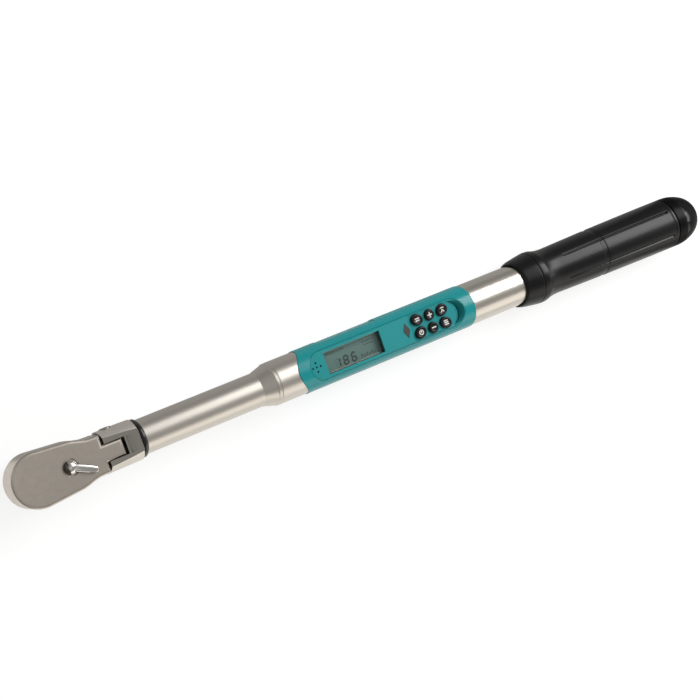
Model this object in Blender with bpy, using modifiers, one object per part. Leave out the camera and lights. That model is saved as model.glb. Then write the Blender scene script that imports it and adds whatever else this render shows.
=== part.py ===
"""Digital torque wrench with a flex ratchet head, a display housing and a battery grip.

The tool lies along +X: the ratchet head is at X = 0, the grip's cap at the far end.
+Y runs across the tool along the flex pin, +Z points up out of the display.
Z = 0 is the end face of the square drive. Sizes are in millimetres, and levels and
radii are measured from the tool's axis, which lies AXIS_Z above that face.
"""
import math

import bmesh
import bpy
from mathutils import Matrix, Vector

MM = 0.001
TAU = 2.0 * math.pi
QUARTER = math.radians(90.0)
MERGE = 1e-7

# Fits between neighbouring pieces, and how far a cutter runs past what it cuts.
GAP = 0.30
SLIP = 0.15
OVERCUT = 1.0

# Facets around: pieces on the tool's axis, small round pieces, pins, holes, and a coil's turn.
ROUND_FACETS = 32
SMALL_FACETS = 20
PIN_FACETS = 16
HOLE_FACETS = 8
COIL_STEPS = 7
COIL_WIRE = 0.25

# Ratchet head.
HEAD_R = 21.2
HEAD_TOP = 12.2
HEAD_BOTTOM = -12.0
HEAD_EDGE = 0.9
HEAD_ROUND = 3.2
FLEX_X = 63.5
TAPER_X = 28.7
TAPER_Y = HEAD_R - 2.35
TANG_HALF = 6.6
TANG_REACH = 5.6
TANG_END = FLEX_X + TANG_REACH
TANG_ROUND = 2.0
TANG_Z0 = HEAD_BOTTOM + 0.5

# Fork on the flex pin.
PIN_R = 3.0
PIN_HEAD_R = PIN_R + 1.6
PIN_RIDGES = 5
PIN_RIDGE_STEP = 1.8
PIN_RIDGE_WIDTH = 0.7
PIN_RIDGE_DEPTH = 0.55
FORK_TIP_R = 16.5
FORK_END_R = FORK_TIP_R - 0.4
FORK_REACH = 9.3
FORK_TIP_X = FLEX_X - FORK_REACH
FORK_LENGTH = 29.1
FORK_END_X = FORK_TIP_X + FORK_LENGTH
FORK_EDGE = 0.7
FORK_TIP_TILT = math.radians(4.8)
FORK_FLAT_Z = HEAD_TOP - 0.2
FORK_FLAT_TILT = math.radians(2.9)
SLOT_HALF = TANG_HALF + GAP
SLOT_REACH = 8.9
SLOT_END_X = FLEX_X + SLOT_REACH
RAMP_LOW_Z = 9.4
RAMP_HIGH_Z = 13.6
RAMP_LENGTH = 4.4
RAMP_END_X = SLOT_END_X + RAMP_LENGTH
SHOULDER_GAP = 0.9
SHOULDER_X = FORK_TIP_X - SHOULDER_GAP
SHOULDER_LENGTH = 6.8
NECK_X = SHOULDER_X - SHOULDER_LENGTH
NECK_Y = 15.0
SHOULDER_Y = NECK_Y - 0.2

# Wheel, its cover and snap ring, and the square.
RING_THICK = 1.0
RING_Z0 = HEAD_BOTTOM + 0.9
COVER_THICK = 1.6
COVER_Z0 = RING_Z0 + RING_THICK + GAP
GEAR_TEETH = 32
GEAR_TIP_R = 15.0
GEAR_ROOT_R = GEAR_TIP_R - 1.1
GEAR_Z0 = COVER_Z0 + COVER_THICK + 0.4
HUB_R = 8.0
HUB_DEPTH = 3.2
HUB_TOP = HEAD_TOP - HUB_DEPTH
HUB_RISE = 2.3
GEAR_Z1 = HUB_TOP - HUB_RISE
BORE_R = GEAR_TIP_R + 0.5
BORE_TOP = GEAR_Z1 + 0.5
RING_GROOVE_R = BORE_R + 1.0
RING_ENDS = math.radians(25.0)
BOSS_R = 10.8
BOSS_EDGE = 0.8
BOSS_PROUD = 1.4
BOSS_END = HEAD_BOTTOM - BOSS_PROUD
SQUARE = 12.7
SQUARE_LENGTH = 15.6
SQUARE_EDGE = 1.3
SQUARE_CORNER = 1.1
SQUARE_HALF = 0.5 * SQUARE
AXIS_Z = SQUARE_LENGTH - BOSS_END
SQUARE_END = -AXIS_Z
BALL_R = 2.4
BALL_UP = 7.6
BALL_PROUD = 1.0
BALL_TRAVEL = 0.9
BALL_Y = SQUARE_HALF - BALL_R + BALL_PROUD
BALL_Z = SQUARE_END + BALL_UP
BALL_HOLE_END = 2.15 - SQUARE_HALF

# Pawl and direction lever.
PAWL_R = GEAR_TIP_R + 1.0
PAWL_WALL = 3.4
PAWL_BACK_R = PAWL_R + PAWL_WALL
PAWL_TOOTH = 0.85
PAWL_TEETH = 11
PAWL_SPREAD = math.radians(34.0)
PAWL_TURN = math.radians(3.0)
PAWL_Z0 = GEAR_Z0 + 1.6
PAWL_Z1 = GEAR_Z1 - 3.3
PAWL_HUB_R = 5.9
PAWL_HUB_ROOM = 0.7
LEVER_SETBACK = 5.7
LEVER_X = PAWL_BACK_R + LEVER_SETBACK
LEVER_REST = math.radians(-25.2)
LEVER_RECESS_R = 6.7
LEVER_RECESS = 1.0
LEVER_SHAFT_R = 3.3
LEVER_SHAFT_END = PAWL_Z0 + 1.0
LEVER_HUB_R = 5.4
LEVER_HUB_FOOT = HEAD_TOP - LEVER_RECESS + GAP
LEVER_DOME = 3.7
DETENT_DEPTH = 5.0
DETENT_Z = HEAD_TOP - DETENT_DEPTH
DETENT_R = 1.45
DETENT_NOTCH_R = 1.8
DETENT_BORE_R = 1.75
DETENT_BORE_LENGTH = 15.5
DETENT_BORE_END = LEVER_X + DETENT_BORE_LENGTH
DETENT_X = LEVER_X + LEVER_SHAFT_R + 1.55
DETENT_COIL_R = 1.15

# Plunger that steadies the head, in the fork's root.
PLUNGER_X = TANG_END + 0.9
PLUNGER_R = 2.6
PLUNGER_TIP_R = 1.2
PLUNGER_BODY = 8.7
PLUNGER_LENGTH = 11.5
PLUNGER_BORE_DEPTH = 15.9
PLUNGER_BORE_END = SLOT_END_X + PLUNGER_BORE_DEPTH

# Tube: slim neck, flare and thick part.
RING_SECTION = 3.5
NECK_R = 13.8
NECK_WALL = 1.9
NECK_BORE_R = NECK_R - NECK_WALL
NECK_LENGTH = 102.9
NECK_START_X = FORK_END_X + RING_SECTION + 2.0 * GAP
SPIGOT_R = NECK_BORE_R - GAP
SPIGOT_LENGTH = 28.7
SPIGOT_END_X = FORK_END_X + SPIGOT_LENGTH
RING_OUTER_R = SPIGOT_R + 0.25 + RING_SECTION
FLARE_X0 = NECK_START_X + NECK_LENGTH
FLARE_LENGTH = 13.2
FLARE_X1 = FLARE_X0 + FLARE_LENGTH
TUBE_R = 17.5
TUBE_WALL = 4.0
TUBE_BORE_R = TUBE_R - TUBE_WALL
TUBE_EDGE = 0.5

# Torque beam with its gauges.
BEAM_X0 = SPIGOT_END_X + GAP
BEAM_REACH = 5.7
BEAM_X1 = FLARE_X0 + BEAM_REACH
BEAM_HALF_Y = 5.0
BEAM_ROOM = 3.9
BEAM_HALF_Z = NECK_BORE_R - BEAM_ROOM
BEAM_EDGE = 0.8
WAIST_SETBACK = 40.0
WAIST_X = SPIGOT_END_X + WAIST_SETBACK
WAIST_HALF = 14.0
WAIST_Y = BEAM_HALF_Y - 1.6
WAIST_Z = BEAM_HALF_Z - 1.4
GAUGE_OFFSET = 7.0
GAUGE_HALF_X = 4.5
GAUGE_HALF_Z = 2.6
GAUGE_THICK = 0.3
GAUGE_GLUE = 0.05

# Display housing around the tube.
HOUSE_PROUD = 0.55
HOUSE_R = TUBE_R + HOUSE_PROUD
HOUSE_SEAT_DEPTH = 1.5
HOUSE_SEAT_R = TUBE_R - HOUSE_SEAT_DEPTH
HOUSE_SETBACK = 18.3
HOUSE_LEFT = FLARE_X1 + HOUSE_SETBACK
HOUSE_LENGTH = 171.4
HOUSE_RIGHT = HOUSE_LEFT + HOUSE_LENGTH
HOUSE_TONGUE = 7.5
HOUSE_TONGUE_TURN = math.radians(75.0)
HOUSE_BOW = 3.4
HOUSE_EDGE = 0.5

# Panel set in the housing: rim, floor and sloped rear end.
RIM = 0.85
POCKET_START = 11.8
POCKET_X0 = HOUSE_LEFT + POCKET_START
POCKET_STOP = 11.3
POCKET_RIM_X1 = HOUSE_RIGHT - POCKET_STOP
POCKET_SLOPE = 5.8
POCKET_FLOOR_X1 = POCKET_RIM_X1 - POCKET_SLOPE
POCKET_SIDE = 7.3
POCKET_HALF = HOUSE_R - POCKET_SIDE
POCKET_DEPTH = 3.85
POCKET_FLOOR = HOUSE_R - POCKET_DEPTH
POCKET_SLOPE_BOW = 0.6
PANEL_THICK = 2.0
PANEL_FLOOR = POCKET_FLOOR - PANEL_THICK
WINDOW_START = 14.9
WINDOW_X0 = POCKET_X0 + WINDOW_START
WINDOW_LENGTH = 53.7
WINDOW_X1 = WINDOW_X0 + WINDOW_LENGTH
WINDOW_SIDE = 1.8
WINDOW_HALF = POCKET_HALF - WINDOW_SIDE
SIDE_FLAT_DEPTH = 1.2
SIDE_FLAT_X0 = WINDOW_X0 + 2.0
SIDE_FLAT_X1 = WINDOW_X1 + 4.1
SIDE_FLAT_Y = HOUSE_R - SIDE_FLAT_DEPTH
SIDE_FLAT_Z0 = -6.0
SIDE_FLAT_Z1 = 7.5
SOUND_START = 6.0
SOUND_X = POCKET_X0 + SOUND_START
SOUND_STEP = 3.6
SOUND_R = 0.65

# Keys, their film and the lamp window.
KEY_PITCH = 12.5
KEY_STOP = 13.1
KEY_X = POCKET_FLOOR_X1 - KEY_STOP - 2.0 * KEY_PITCH
KEY_ROW = 0.5 * POCKET_HALF + 0.075
KEY_LONG = 5.5
KEY_MIDDLE = 4.5
KEY_ROW_GAP = 0.85
KEY_SHORT = KEY_ROW - KEY_ROW_GAP
KEY_LEAN = math.radians(24.0)
KEY_PROUD = 2.2
KEY_TOP = POCKET_FLOOR + KEY_PROUD
KEY_TRAVEL = 1.0
KEY_FACETS = 14
KEY_FLANGE = 0.3
KEY_FLANGE_THICK = 0.9
KEY_STEM_R = 1.6
MAT_FRONT = 6.2
MAT_X0 = KEY_X - MAT_FRONT
MAT_THICK = 0.8
MAT_INSET = 0.25
LIGHT_HALF_X = 3.2
LIGHT_HALF_Y = 6.4
LIGHT_GAP = 2.1
LIGHT_X = MAT_X0 - LIGHT_HALF_X - LIGHT_GAP
LIGHT_SINK = 0.85
LIGHT_THICK = 1.0

# Tray under the panel, with the display, the buzzer and the board.
TRAY_HALF = POCKET_HALF - 0.25
TRAY_Z0 = -math.sqrt((TUBE_BORE_R - 0.54) ** 2 - TRAY_HALF ** 2)
TRAY_INSET = 0.2
TRAY_WALL = 1.4
TRAY_ROOF = 1.0
DISPLAY_DEPTH = 5.0
TRAY_FLOOR = PANEL_FLOOR - DISPLAY_DEPTH
KEY_WELL_DEPTH = 2.6
TRAY_KEY_FLOOR = PANEL_FLOOR - KEY_WELL_DEPTH
BOARD_TOP = TRAY_FLOOR - TRAY_ROOF - 0.4
BOARD_THICK = 1.6
LCD_THICK = 1.1
LCD_FRAME_THICK = 0.9
LCD_FRAME_WIDTH = 0.8
LENS_THICK = 0.8
BUZZER_R = 4.6
BUZZER_THICK = 2.5
BUZZER_TOP = PANEL_FLOOR - 0.6

# Grip sleeve: stations from the mouth's side, thicknesses over the tube.
GRIP_SETBACK = 48.8
MOUTH_X = HOUSE_RIGHT + GRIP_SETBACK
MOUTH_RISE = 4.5
MOUTH_CURVE = 2.2
COLLAR_LENGTH = 6.5
COLLAR_LOW = 1.1
COLLAR_HIGH = 3.0
GRIP_LENGTH = 173.9
GRIP_END_X = MOUTH_X + GRIP_LENGTH
GRIP_BORE_R = TUBE_R + GAP
GRIP_FACETS = 32
GRIP_REAR = 4.45
GRIP_PROFILE = (
    (COLLAR_LENGTH, COLLAR_HIGH), (19.8, 4.95), (20.6, 4.65), (21.4, 5.1), (24.0, 5.25), (27.0, 5.1),
    (29.2, 4.45), (32.2, 3.7), (36.5, 3.0), (42.0, 2.7), (88.8, 3.65), (89.3, 3.3), (93.5, 3.4),
    (94.0, 3.8), (GRIP_LENGTH - 1.2, GRIP_REAR), (GRIP_LENGTH, 3.7))
GROOVE_COUNT = 6
GROOVE_START = 49.0
GROOVE_STOP = 5.9
GROOVE_X0 = MOUTH_X + GROOVE_START
GROOVE_X1 = GRIP_END_X - GROOVE_STOP
GROOVE_WIDTH = 2.2
GROOVE_FLOOR_0 = 2.35
GROOVE_FLOOR_1 = 3.1

# Cap that screws into the tube's end.
TUBE_STOP = 3.9
TUBE_END_X = GRIP_END_X - TUBE_STOP
CAP_X0 = GRIP_END_X + GAP
CAP_LENGTH = 32.6
CAP_END_X = CAP_X0 + CAP_LENGTH
CAP_SPIGOT_R = TUBE_BORE_R - GAP
CAP_SPIGOT_LENGTH = 11.5
CAP_SPIGOT_X0 = TUBE_END_X - CAP_SPIGOT_LENGTH
CAP_WALL = 3.2
CAP_BORE_R = CAP_SPIGOT_R - CAP_WALL
CAP_BORE_X1 = CAP_X0 + 1.8
CAP_PLATE_X0 = TUBE_END_X + 0.6
SEAL_SECTION = 1.3
SEAL_DEPTH = 1.6
SEAL_GROOVE_R = CAP_SPIGOT_R - SEAL_DEPTH
SEAL_SETBACK = 4.8
SEAL_X = TUBE_END_X - SEAL_SETBACK
SEAL_HALF = 1.2

# Cells in their holder, from the rear end forwards.
CELL_R = 7.25
CELL_BODY = 49.3
CELL_NUB = 1.2
CELL_NUB_R = 2.7
CELL_EDGE = 0.5
CELL_COUNT = 3
CELL_PITCH = CELL_BODY + CELL_NUB + GAP
CELL_SPRING_ROOM = 15.1
CELL_END = CAP_SPIGOT_X0 - CELL_SPRING_ROOM
CELL_X0 = CELL_END - CELL_COUNT * CELL_PITCH
HOLDER_R = TUBE_BORE_R - 0.35
HOLDER_BORE_R = CELL_R + 0.35
HOLDER_WALL = 1.8
HOLDER_WAIST_R = HOLDER_BORE_R + HOLDER_WALL
HOLDER_END = 3.0


def clear_scene():
    """Removes whatever the file holds."""
    for item in list(bpy.data.objects):
        bpy.data.objects.remove(item, do_unlink=True)


def collection(name):
    """A collection linked to the scene."""
    made = bpy.data.collections.new(name)
    bpy.context.scene.collection.children.link(made)
    return made


def material(name, colour, roughness, metallic=0.0):
    """A plain surface for one family of pieces."""
    made = bpy.data.materials.new(name)
    made.use_nodes = True
    shader = made.node_tree.nodes["Principled BSDF"]
    shader.inputs["Base Color"].default_value = (*colour, 1.0)
    shader.inputs["Roughness"].default_value = roughness
    shader.inputs["Metallic"].default_value = metallic
    return made


clear_scene()
PARTS = collection("digital_torque_wrench")
CUTTERS = collection("cutters")

SATIN = material("satin_nickel", (0.52, 0.49, 0.46), 0.34, 1.0)
FACE = material("satin_face", (0.46, 0.43, 0.40), 0.42, 1.0)
CHROME = material("polished_chrome", (0.80, 0.79, 0.77), 0.10, 1.0)
STEEL = material("plain_steel", (0.50, 0.50, 0.50), 0.38, 1.0)
SPRING = material("spring_steel", (0.42, 0.42, 0.43), 0.30, 1.0)
RUBBER = material("black_rubber", (0.012, 0.012, 0.013), 0.45)
TEAL = material("teal_plastic", (0.012, 0.330, 0.320), 0.36)
TEAL_PANEL = material("teal_panel", (0.040, 0.300, 0.300), 0.48)
KEY_BLACK = material("black_key", (0.012, 0.009, 0.010), 0.32)
SMOKED = material("smoked_lens", (0.10, 0.06, 0.06), 0.20)
CLEAR = material("clear_lens", (0.70, 0.75, 0.74), 0.08)
LCD = material("lcd_glass", (0.15, 0.21, 0.18), 0.25)
SILVER = material("bright_frame", (0.70, 0.70, 0.70), 0.25, 1.0)
INNER = material("black_inner_plastic", (0.015, 0.015, 0.016), 0.50)
BOARD = material("green_board", (0.015, 0.120, 0.045), 0.50)
GRIP = material("black_grip", (0.020, 0.020, 0.021), 0.46)
GAUGE = material("gauge_foil", (0.48, 0.26, 0.08), 0.45)
CELL = material("cell_sleeve", (0.05, 0.07, 0.16), 0.35)
BRASS = material("contact_brass", (0.62, 0.45, 0.18), 0.30, 1.0)


def link(name, mesh, surface):
    """Puts a mesh in the scene: a part if it has a surface, a cutter if it has none."""
    made = bpy.data.objects.new(name, mesh)
    if surface is None:
        CUTTERS.objects.link(made)
        made.hide_render = True
        made.display_type = "WIRE"
    else:
        PARTS.objects.link(made)
        mesh.materials.append(surface)
    return made


def finish(name, build, surface):
    """Turns a bmesh into an object with its faces pointing out."""
    bmesh.ops.recalc_face_normals(build, faces=build.faces)
    mesh = bpy.data.meshes.new(name)
    build.to_mesh(mesh)
    build.free()
    return link(name, mesh, surface)


def weld(mesh):
    """Closes a mesh's seams and turns its faces outwards."""
    build = bmesh.new()
    build.from_mesh(mesh)
    bmesh.ops.remove_doubles(build, verts=build.verts, dist=MERGE)
    bmesh.ops.dissolve_degenerate(build, edges=build.edges, dist=MERGE)
    bmesh.ops.recalc_face_normals(build, faces=build.faces)
    build.to_mesh(mesh)
    build.free()


def evaluated_mesh(item):
    """The mesh that an object's curve or modifiers give."""
    bpy.context.view_layer.update()
    view = bpy.context.evaluated_depsgraph_get()
    return bpy.data.meshes.new_from_object(item.evaluated_get(view))


def modify(item, kind, **settings):
    """Adds one modifier and replaces the object's mesh by what it gives."""
    made = item.modifiers.new(kind.lower(), kind)
    for key, value in settings.items():
        setattr(made, key, value)
    mesh = evaluated_mesh(item)
    item.modifiers.clear()
    item.data = mesh
    weld(mesh)
    return item


def combine(item, others, operation):
    """Boolean of a solid with others, which are used up."""
    for other in others:
        modify(item, "BOOLEAN", operation=operation, object=other, solver="EXACT")
        bpy.data.objects.remove(other, do_unlink=True)
    return item


def cut(item, *cutters):
    """Takes the cutters away from a solid."""
    return combine(item, cutters, "DIFFERENCE")


def fuse(item, *others):
    """Joins solids into one."""
    return combine(item, others, "UNION")


def turn_mesh(item, angle, axis):
    """Turns a mesh about an axis through the origin."""
    item.data.transform(Matrix.Rotation(angle, 4, axis))
    return item


def shift_mesh(item, x, y, z):
    """Moves a mesh by millimetres."""
    item.data.transform(Matrix.Translation(Vector((x, y, z)) * MM))
    return item


def place(item, origin=(0.0, 0.0, 0.0), sharp=35.0):
    """Raises a piece to its level, with its origin where asked and its round faces smooth."""
    shift_mesh(item, *(-value for value in origin))
    item.location = (Vector(origin) + Vector((0.0, 0.0, AXIS_Z))) * MM
    item.data.shade_smooth()
    item.data.set_sharp_from_angle(angle=math.radians(sharp))
    return item


def loft(name, rings, surface, closed=False):
    """Solid through rings of equally many points."""
    build = bmesh.new()
    rows = [[build.verts.new(Vector(point) * MM) for point in ring] for ring in rings]
    pairs = list(zip(rows[:-1], rows[1:]))
    if closed:
        pairs.append((rows[-1], rows[0]))
    count = len(rows[0])
    for low, high in pairs:
        for index in range(count):
            after = (index + 1) % count
            build.faces.new((low[index], low[after], high[after], high[index]))
    if not closed:
        build.faces.new(list(reversed(rows[0])))
        build.faces.new(rows[-1])
    return finish(name, build, surface)


def plate(name, outlines, z0, z1, surface):
    """Flat piece between two levels; outlines after the first are holes."""
    curve = bpy.data.curves.new(name, "CURVE")
    curve.dimensions = "2D"
    curve.fill_mode = "BOTH"
    curve.extrude = 0.5 * (z1 - z0) * MM
    for outline in outlines:
        spline = curve.splines.new("POLY")
        spline.points.add(len(outline) - 1)
        for slot, (x, y) in zip(spline.points, outline):
            slot.co = (x * MM, y * MM, 0.0, 1.0)
        spline.use_cyclic_u = True
    return curve_solid(name, curve, surface, 0.5 * (z0 + z1))


def curve_solid(name, curve, surface, level=0.0):
    """Closed solid from a filled or bevelled curve, which is used up."""
    path = bpy.data.objects.new(name, curve)
    PARTS.objects.link(path)
    mesh = evaluated_mesh(path)
    mesh.transform(Matrix.Translation((0.0, 0.0, level * MM)))
    weld(mesh)
    bpy.data.objects.remove(path, do_unlink=True)
    bpy.data.curves.remove(curve)
    return link(name, mesh, surface)


def turned(name, profile, surface, steps=ROUND_FACETS, upright=False):
    """Turned piece from (station, radius) pairs, along the tool or upright."""
    mesh = bpy.data.meshes.new(name)
    points = [(radius * MM, 0.0, station * MM) for station, radius in profile]
    edges = [(index, index + 1) for index in range(len(points) - 1)
             if profile[index][1] + profile[index + 1][1] > 0.0]
    if profile[0][1] > 0.0 and profile[-1][1] > 0.0:
        edges.append((len(points) - 1, 0))
    mesh.from_pydata(points, edges, [])
    made = link(name, mesh, surface)
    modify(made, "SCREW", axis="Z", angle=TAU, steps=steps, render_steps=steps,
           use_merge_vertices=True, merge_threshold=1e-6, use_normal_calculate=True)
    if not upright:
        turn_mesh(made, QUARTER, "Y")
    return made


def box(name, low, high, surface=None):
    """Box between two corners; a cutter unless it has a surface."""
    build = bmesh.new()
    first, last = Vector(low), Vector(high)
    spot = Matrix.Translation(0.5 * (first + last) * MM)
    size = Matrix.Diagonal((*((last - first) * MM), 1.0))
    bmesh.ops.create_cube(build, size=1.0, matrix=spot @ size)
    return finish(name, build, surface)


def rod(name, start, end, radius, segments=SMALL_FACETS, surface=None):
    """Cylinder between two points; a cutter unless it has a surface."""
    build = bmesh.new()
    first, last = Vector(start) * MM, Vector(end) * MM
    turn = Vector((0.0, 0.0, 1.0)).rotation_difference(last - first).to_matrix().to_4x4()
    bmesh.ops.create_cone(build, cap_ends=True, segments=segments, radius1=radius * MM,
                          radius2=radius * MM, depth=(last - first).length,
                          matrix=Matrix.Translation(0.5 * (first + last)) @ turn)
    return finish(name, build, surface)


def upright(name, x, y, z0, z1, radius, segments=SMALL_FACETS, surface=None):
    """Upright cylinder between two levels; a cutter unless it has a surface."""
    return rod(name, (x, y, z0), (x, y, z1), radius, segments, surface)


def ball(name, centre, radius, surface=None, segments=12, rings=6):
    """Sphere; a cutter unless it has a surface."""
    build = bmesh.new()
    bmesh.ops.create_uvsphere(build, u_segments=segments, v_segments=rings, radius=radius * MM,
                              matrix=Matrix.Translation(Vector(centre) * MM))
    return finish(name, build, surface)


def coil(name, start, direction, length, radius, turns, wire=COIL_WIRE, radius_end=None):
    """Helical spring that starts at a point and runs along a direction."""
    curve = bpy.data.curves.new(name, "CURVE")
    curve.dimensions = "3D"
    curve.bevel_depth = wire * MM
    curve.bevel_resolution = 0
    curve.use_fill_caps = True
    steps = int(turns * COIL_STEPS)
    spline = curve.splines.new("POLY")
    spline.points.add(steps)
    turn = Vector((0.0, 0.0, 1.0)).rotation_difference(Vector(direction))
    tip = radius if radius_end is None else radius_end
    for index in range(steps + 1):
        share = index / steps
        angle = TAU * turns * share
        reach = radius + (tip - radius) * share
        local = Vector((reach * math.cos(angle), reach * math.sin(angle), length * share))
        spline.points[index].co = (*((Vector(start) + turn @ local) * MM), 1.0)
    return curve_solid(name, curve, SPRING)


def ring_seal(name, station, outer, section, steps=ROUND_FACETS):
    """Rubber ring around the tool's axis."""
    bpy.ops.mesh.primitive_torus_add(
        major_segments=steps, minor_segments=6, major_radius=(outer - 0.5 * section) * MM,
        minor_radius=0.5 * section * MM)
    torus = bpy.context.active_object
    mesh = torus.data
    bpy.data.objects.remove(torus, do_unlink=True)
    mesh.materials.clear()
    made = link(name, mesh, RUBBER)
    turn_mesh(made, QUARTER, "Y")
    return shift_mesh(made, station, 0.0, 0.0)


def arc(radius, start, end, steps):
    """Points along an arc about the origin, both ends included."""
    angles = [start + (end - start) * index / steps for index in range(steps + 1)]
    return [(radius * math.cos(angle), radius * math.sin(angle)) for angle in angles]


def oval(long, short, x, y, lean):
    """Points around an ellipse that leans."""
    points = []
    for index in range(KEY_FACETS):
        angle = TAU * index / KEY_FACETS
        u, v = long * math.cos(angle), short * math.sin(angle)
        points.append((x + u * math.cos(lean) - v * math.sin(lean),
                       y + u * math.sin(lean) + v * math.cos(lean)))
    return points


def stadium(x0, x1, half, steps=10):
    """Slot outline with round ends."""
    right = arc(half, -QUARTER, QUARTER, steps)
    left = arc(half, QUARTER, 3.0 * QUARTER, steps)
    return [(x1 - half + x, y) for x, y in right] + [(x0 + half + x, y) for x, y in left]


def rectangle(x0, x1, half):
    """Corners of a rectangle across the tool's axis."""
    return [(x0, -half), (x1, -half), (x1, half), (x0, half)]


def smooth(value):
    """Smooth step between 0 and 1."""
    share = min(max(value, 0.0), 1.0)
    return share * share * (3.0 - 2.0 * share)


def inset(outline, depth):
    """Outline moved inwards along its normals."""
    moved = []
    for index, (x, y) in enumerate(outline):
        before, after = outline[index - 1], outline[(index + 1) % len(outline)]
        run = (after[0] - before[0], after[1] - before[1])
        size = math.hypot(*run)
        moved.append((x - depth * run[1] / size, y + depth * run[0] / size))
    return moved


def head_outline():
    """Pear outline of the head, anticlockwise from its nose."""
    slope = math.atan2(HEAD_R - TAPER_Y, TAPER_X)
    start = (HEAD_R * math.sin(slope), HEAD_R * math.cos(slope))
    side = arc(HEAD_R, 2.0 * QUARTER, QUARTER - slope, 12)
    side.append((0.5 * (start[0] + TAPER_X), 0.5 * (start[1] + TAPER_Y)))
    run = NECK_X - TAPER_X
    lean = (TAPER_Y - start[1]) / (TAPER_X - start[0]) * run
    steps = 7
    for index in range(steps + 1):
        share = index / steps
        near = 2.0 * share ** 3 - 3.0 * share ** 2 + 1.0
        push = share ** 3 - 2.0 * share ** 2 + share
        side.append((TAPER_X + run * share, near * TAPER_Y + push * lean + (1.0 - near) * NECK_Y))
    side.append((SHOULDER_X, SHOULDER_Y))
    return [(x, -y) for x, y in side] + side[:0:-1]


def head_body():
    """Head with its rounded lower edge, chamfered top edge and tang."""
    outline = head_outline()
    round_steps = 3
    levels = []
    for step in range(round_steps + 1):
        angle = QUARTER * step / round_steps
        levels.append((HEAD_BOTTOM + HEAD_ROUND * (1.0 - math.cos(angle)),
                       HEAD_ROUND * (1.0 - math.sin(angle))))
    levels += [(HEAD_TOP - HEAD_EDGE, 0.0), (HEAD_TOP, HEAD_EDGE)]
    rings = [[(min(x, SHOULDER_X), y, level) for x, y in inset(outline, depth)]
             for level, depth in levels]
    head = loft("head_housing", rings, FACE)
    root = NECK_X + 0.8
    end = TANG_END - TANG_ROUND
    side = [(root, TANG_Z0), (end, TANG_Z0), (TANG_END, TANG_Z0 + TANG_ROUND),
            (TANG_END, HEAD_TOP - TANG_ROUND), (TANG_END - 0.3 * TANG_ROUND, HEAD_TOP - 0.3 * TANG_ROUND),
            (end, HEAD_TOP), (root, HEAD_TOP)]
    return fuse(head, turn_mesh(plate("tang", [side], -TANG_HALF, TANG_HALF, FACE), QUARTER, "X"))


def head_housing():
    """Head with the bores for wheel, snap ring, pawl, lever, detent and flex pin."""
    pawl_reach = PAWL_BACK_R * math.sin(PAWL_SPREAD) + 1.75
    pawl_x0 = PAWL_R * math.cos(PAWL_SPREAD) - 3.2
    low, high = PAWL_Z0 - GAP, PAWL_Z1 + GAP
    head = cut(
        head_body(),
        upright("wheel_bore", 0, 0, HEAD_BOTTOM - OVERCUT, BORE_TOP, BORE_R, ROUND_FACETS),
        upright("hub_bore", 0, 0, BORE_TOP - OVERCUT, HUB_TOP + GAP, HUB_R + GAP),
        upright("ring_groove", 0, 0, RING_Z0 - SLIP, RING_Z0 + RING_THICK + SLIP, RING_GROOVE_R,
                ROUND_FACETS),
        box("pawl_room", (pawl_x0, -pawl_reach, low), (PAWL_BACK_R + 3.2, pawl_reach, high)),
        upright("pawl_hub_room", LEVER_X, 0, low, high, PAWL_HUB_R + PAWL_HUB_ROOM),
        upright("lever_bore", LEVER_X, 0, 0, HEAD_TOP + OVERCUT, LEVER_SHAFT_R + GAP, PIN_FACETS),
        upright("lever_recess", LEVER_X, 0, HEAD_TOP - LEVER_RECESS, HEAD_TOP + OVERCUT, LEVER_RECESS_R),
        rod("detent_bore", (LEVER_X, 0, DETENT_Z), (DETENT_BORE_END, 0, DETENT_Z), DETENT_BORE_R,
            HOLE_FACETS),
        rod("pin_bore", (FLEX_X, -FORK_TIP_R, 0), (FLEX_X, FORK_TIP_R, 0), PIN_R + SLIP))
    return place(head, (FLEX_X, 0, 0))


def wheel_outline():
    """Outline of the ratchet wheel with its pointed teeth."""
    land, valley, offset = 0.12, 0.56, 0.06
    points = []
    for tooth in range(GEAR_TEETH):
        for share, radius in ((0.0, GEAR_TIP_R), (land, GEAR_TIP_R), (valley, GEAR_ROOT_R)):
            angle = TAU * (tooth + share - offset) / GEAR_TEETH
            points.append((radius * math.cos(angle), radius * math.sin(angle)))
    return points


def square_shank():
    """Square with broken corners and a tapered end."""
    rings = []
    for level, half in ((SQUARE_END, SQUARE_HALF - SQUARE_EDGE), (SQUARE_END + SQUARE_EDGE, SQUARE_HALF),
                        (BOSS_END + OVERCUT, SQUARE_HALF)):
        near = half - SQUARE_CORNER
        ring = [(half, near), (near, half), (-near, half), (-half, near),
                (-half, -near), (-near, -half), (near, -half), (half, -near)]
        rings.append([(x, y, level) for x, y in ring])
    return loft("square", rings, STEEL)


def drive_gear():
    """Ratchet wheel, boss and square in one, with the hole for the ball."""
    boss = turned("boss", [
        (HUB_TOP, 0.0), (HUB_TOP, HUB_R), (GEAR_Z1 - OVERCUT, HUB_R), (GEAR_Z1 - OVERCUT, BOSS_R),
        (BOSS_END + BOSS_EDGE, BOSS_R), (BOSS_END, BOSS_R - BOSS_EDGE), (BOSS_END, 0.0)],
        STEEL, SMALL_FACETS, upright=True)
    gear = fuse(plate("drive_gear", [wheel_outline()], GEAR_Z0, GEAR_Z1, STEEL), boss, square_shank())
    hole = rod("ball_hole", (0, BALL_HOLE_END, BALL_Z), (0, SQUARE_HALF + OVERCUT, BALL_Z), BALL_R + SLIP, 12)
    return place(cut(gear, hole))


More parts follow.
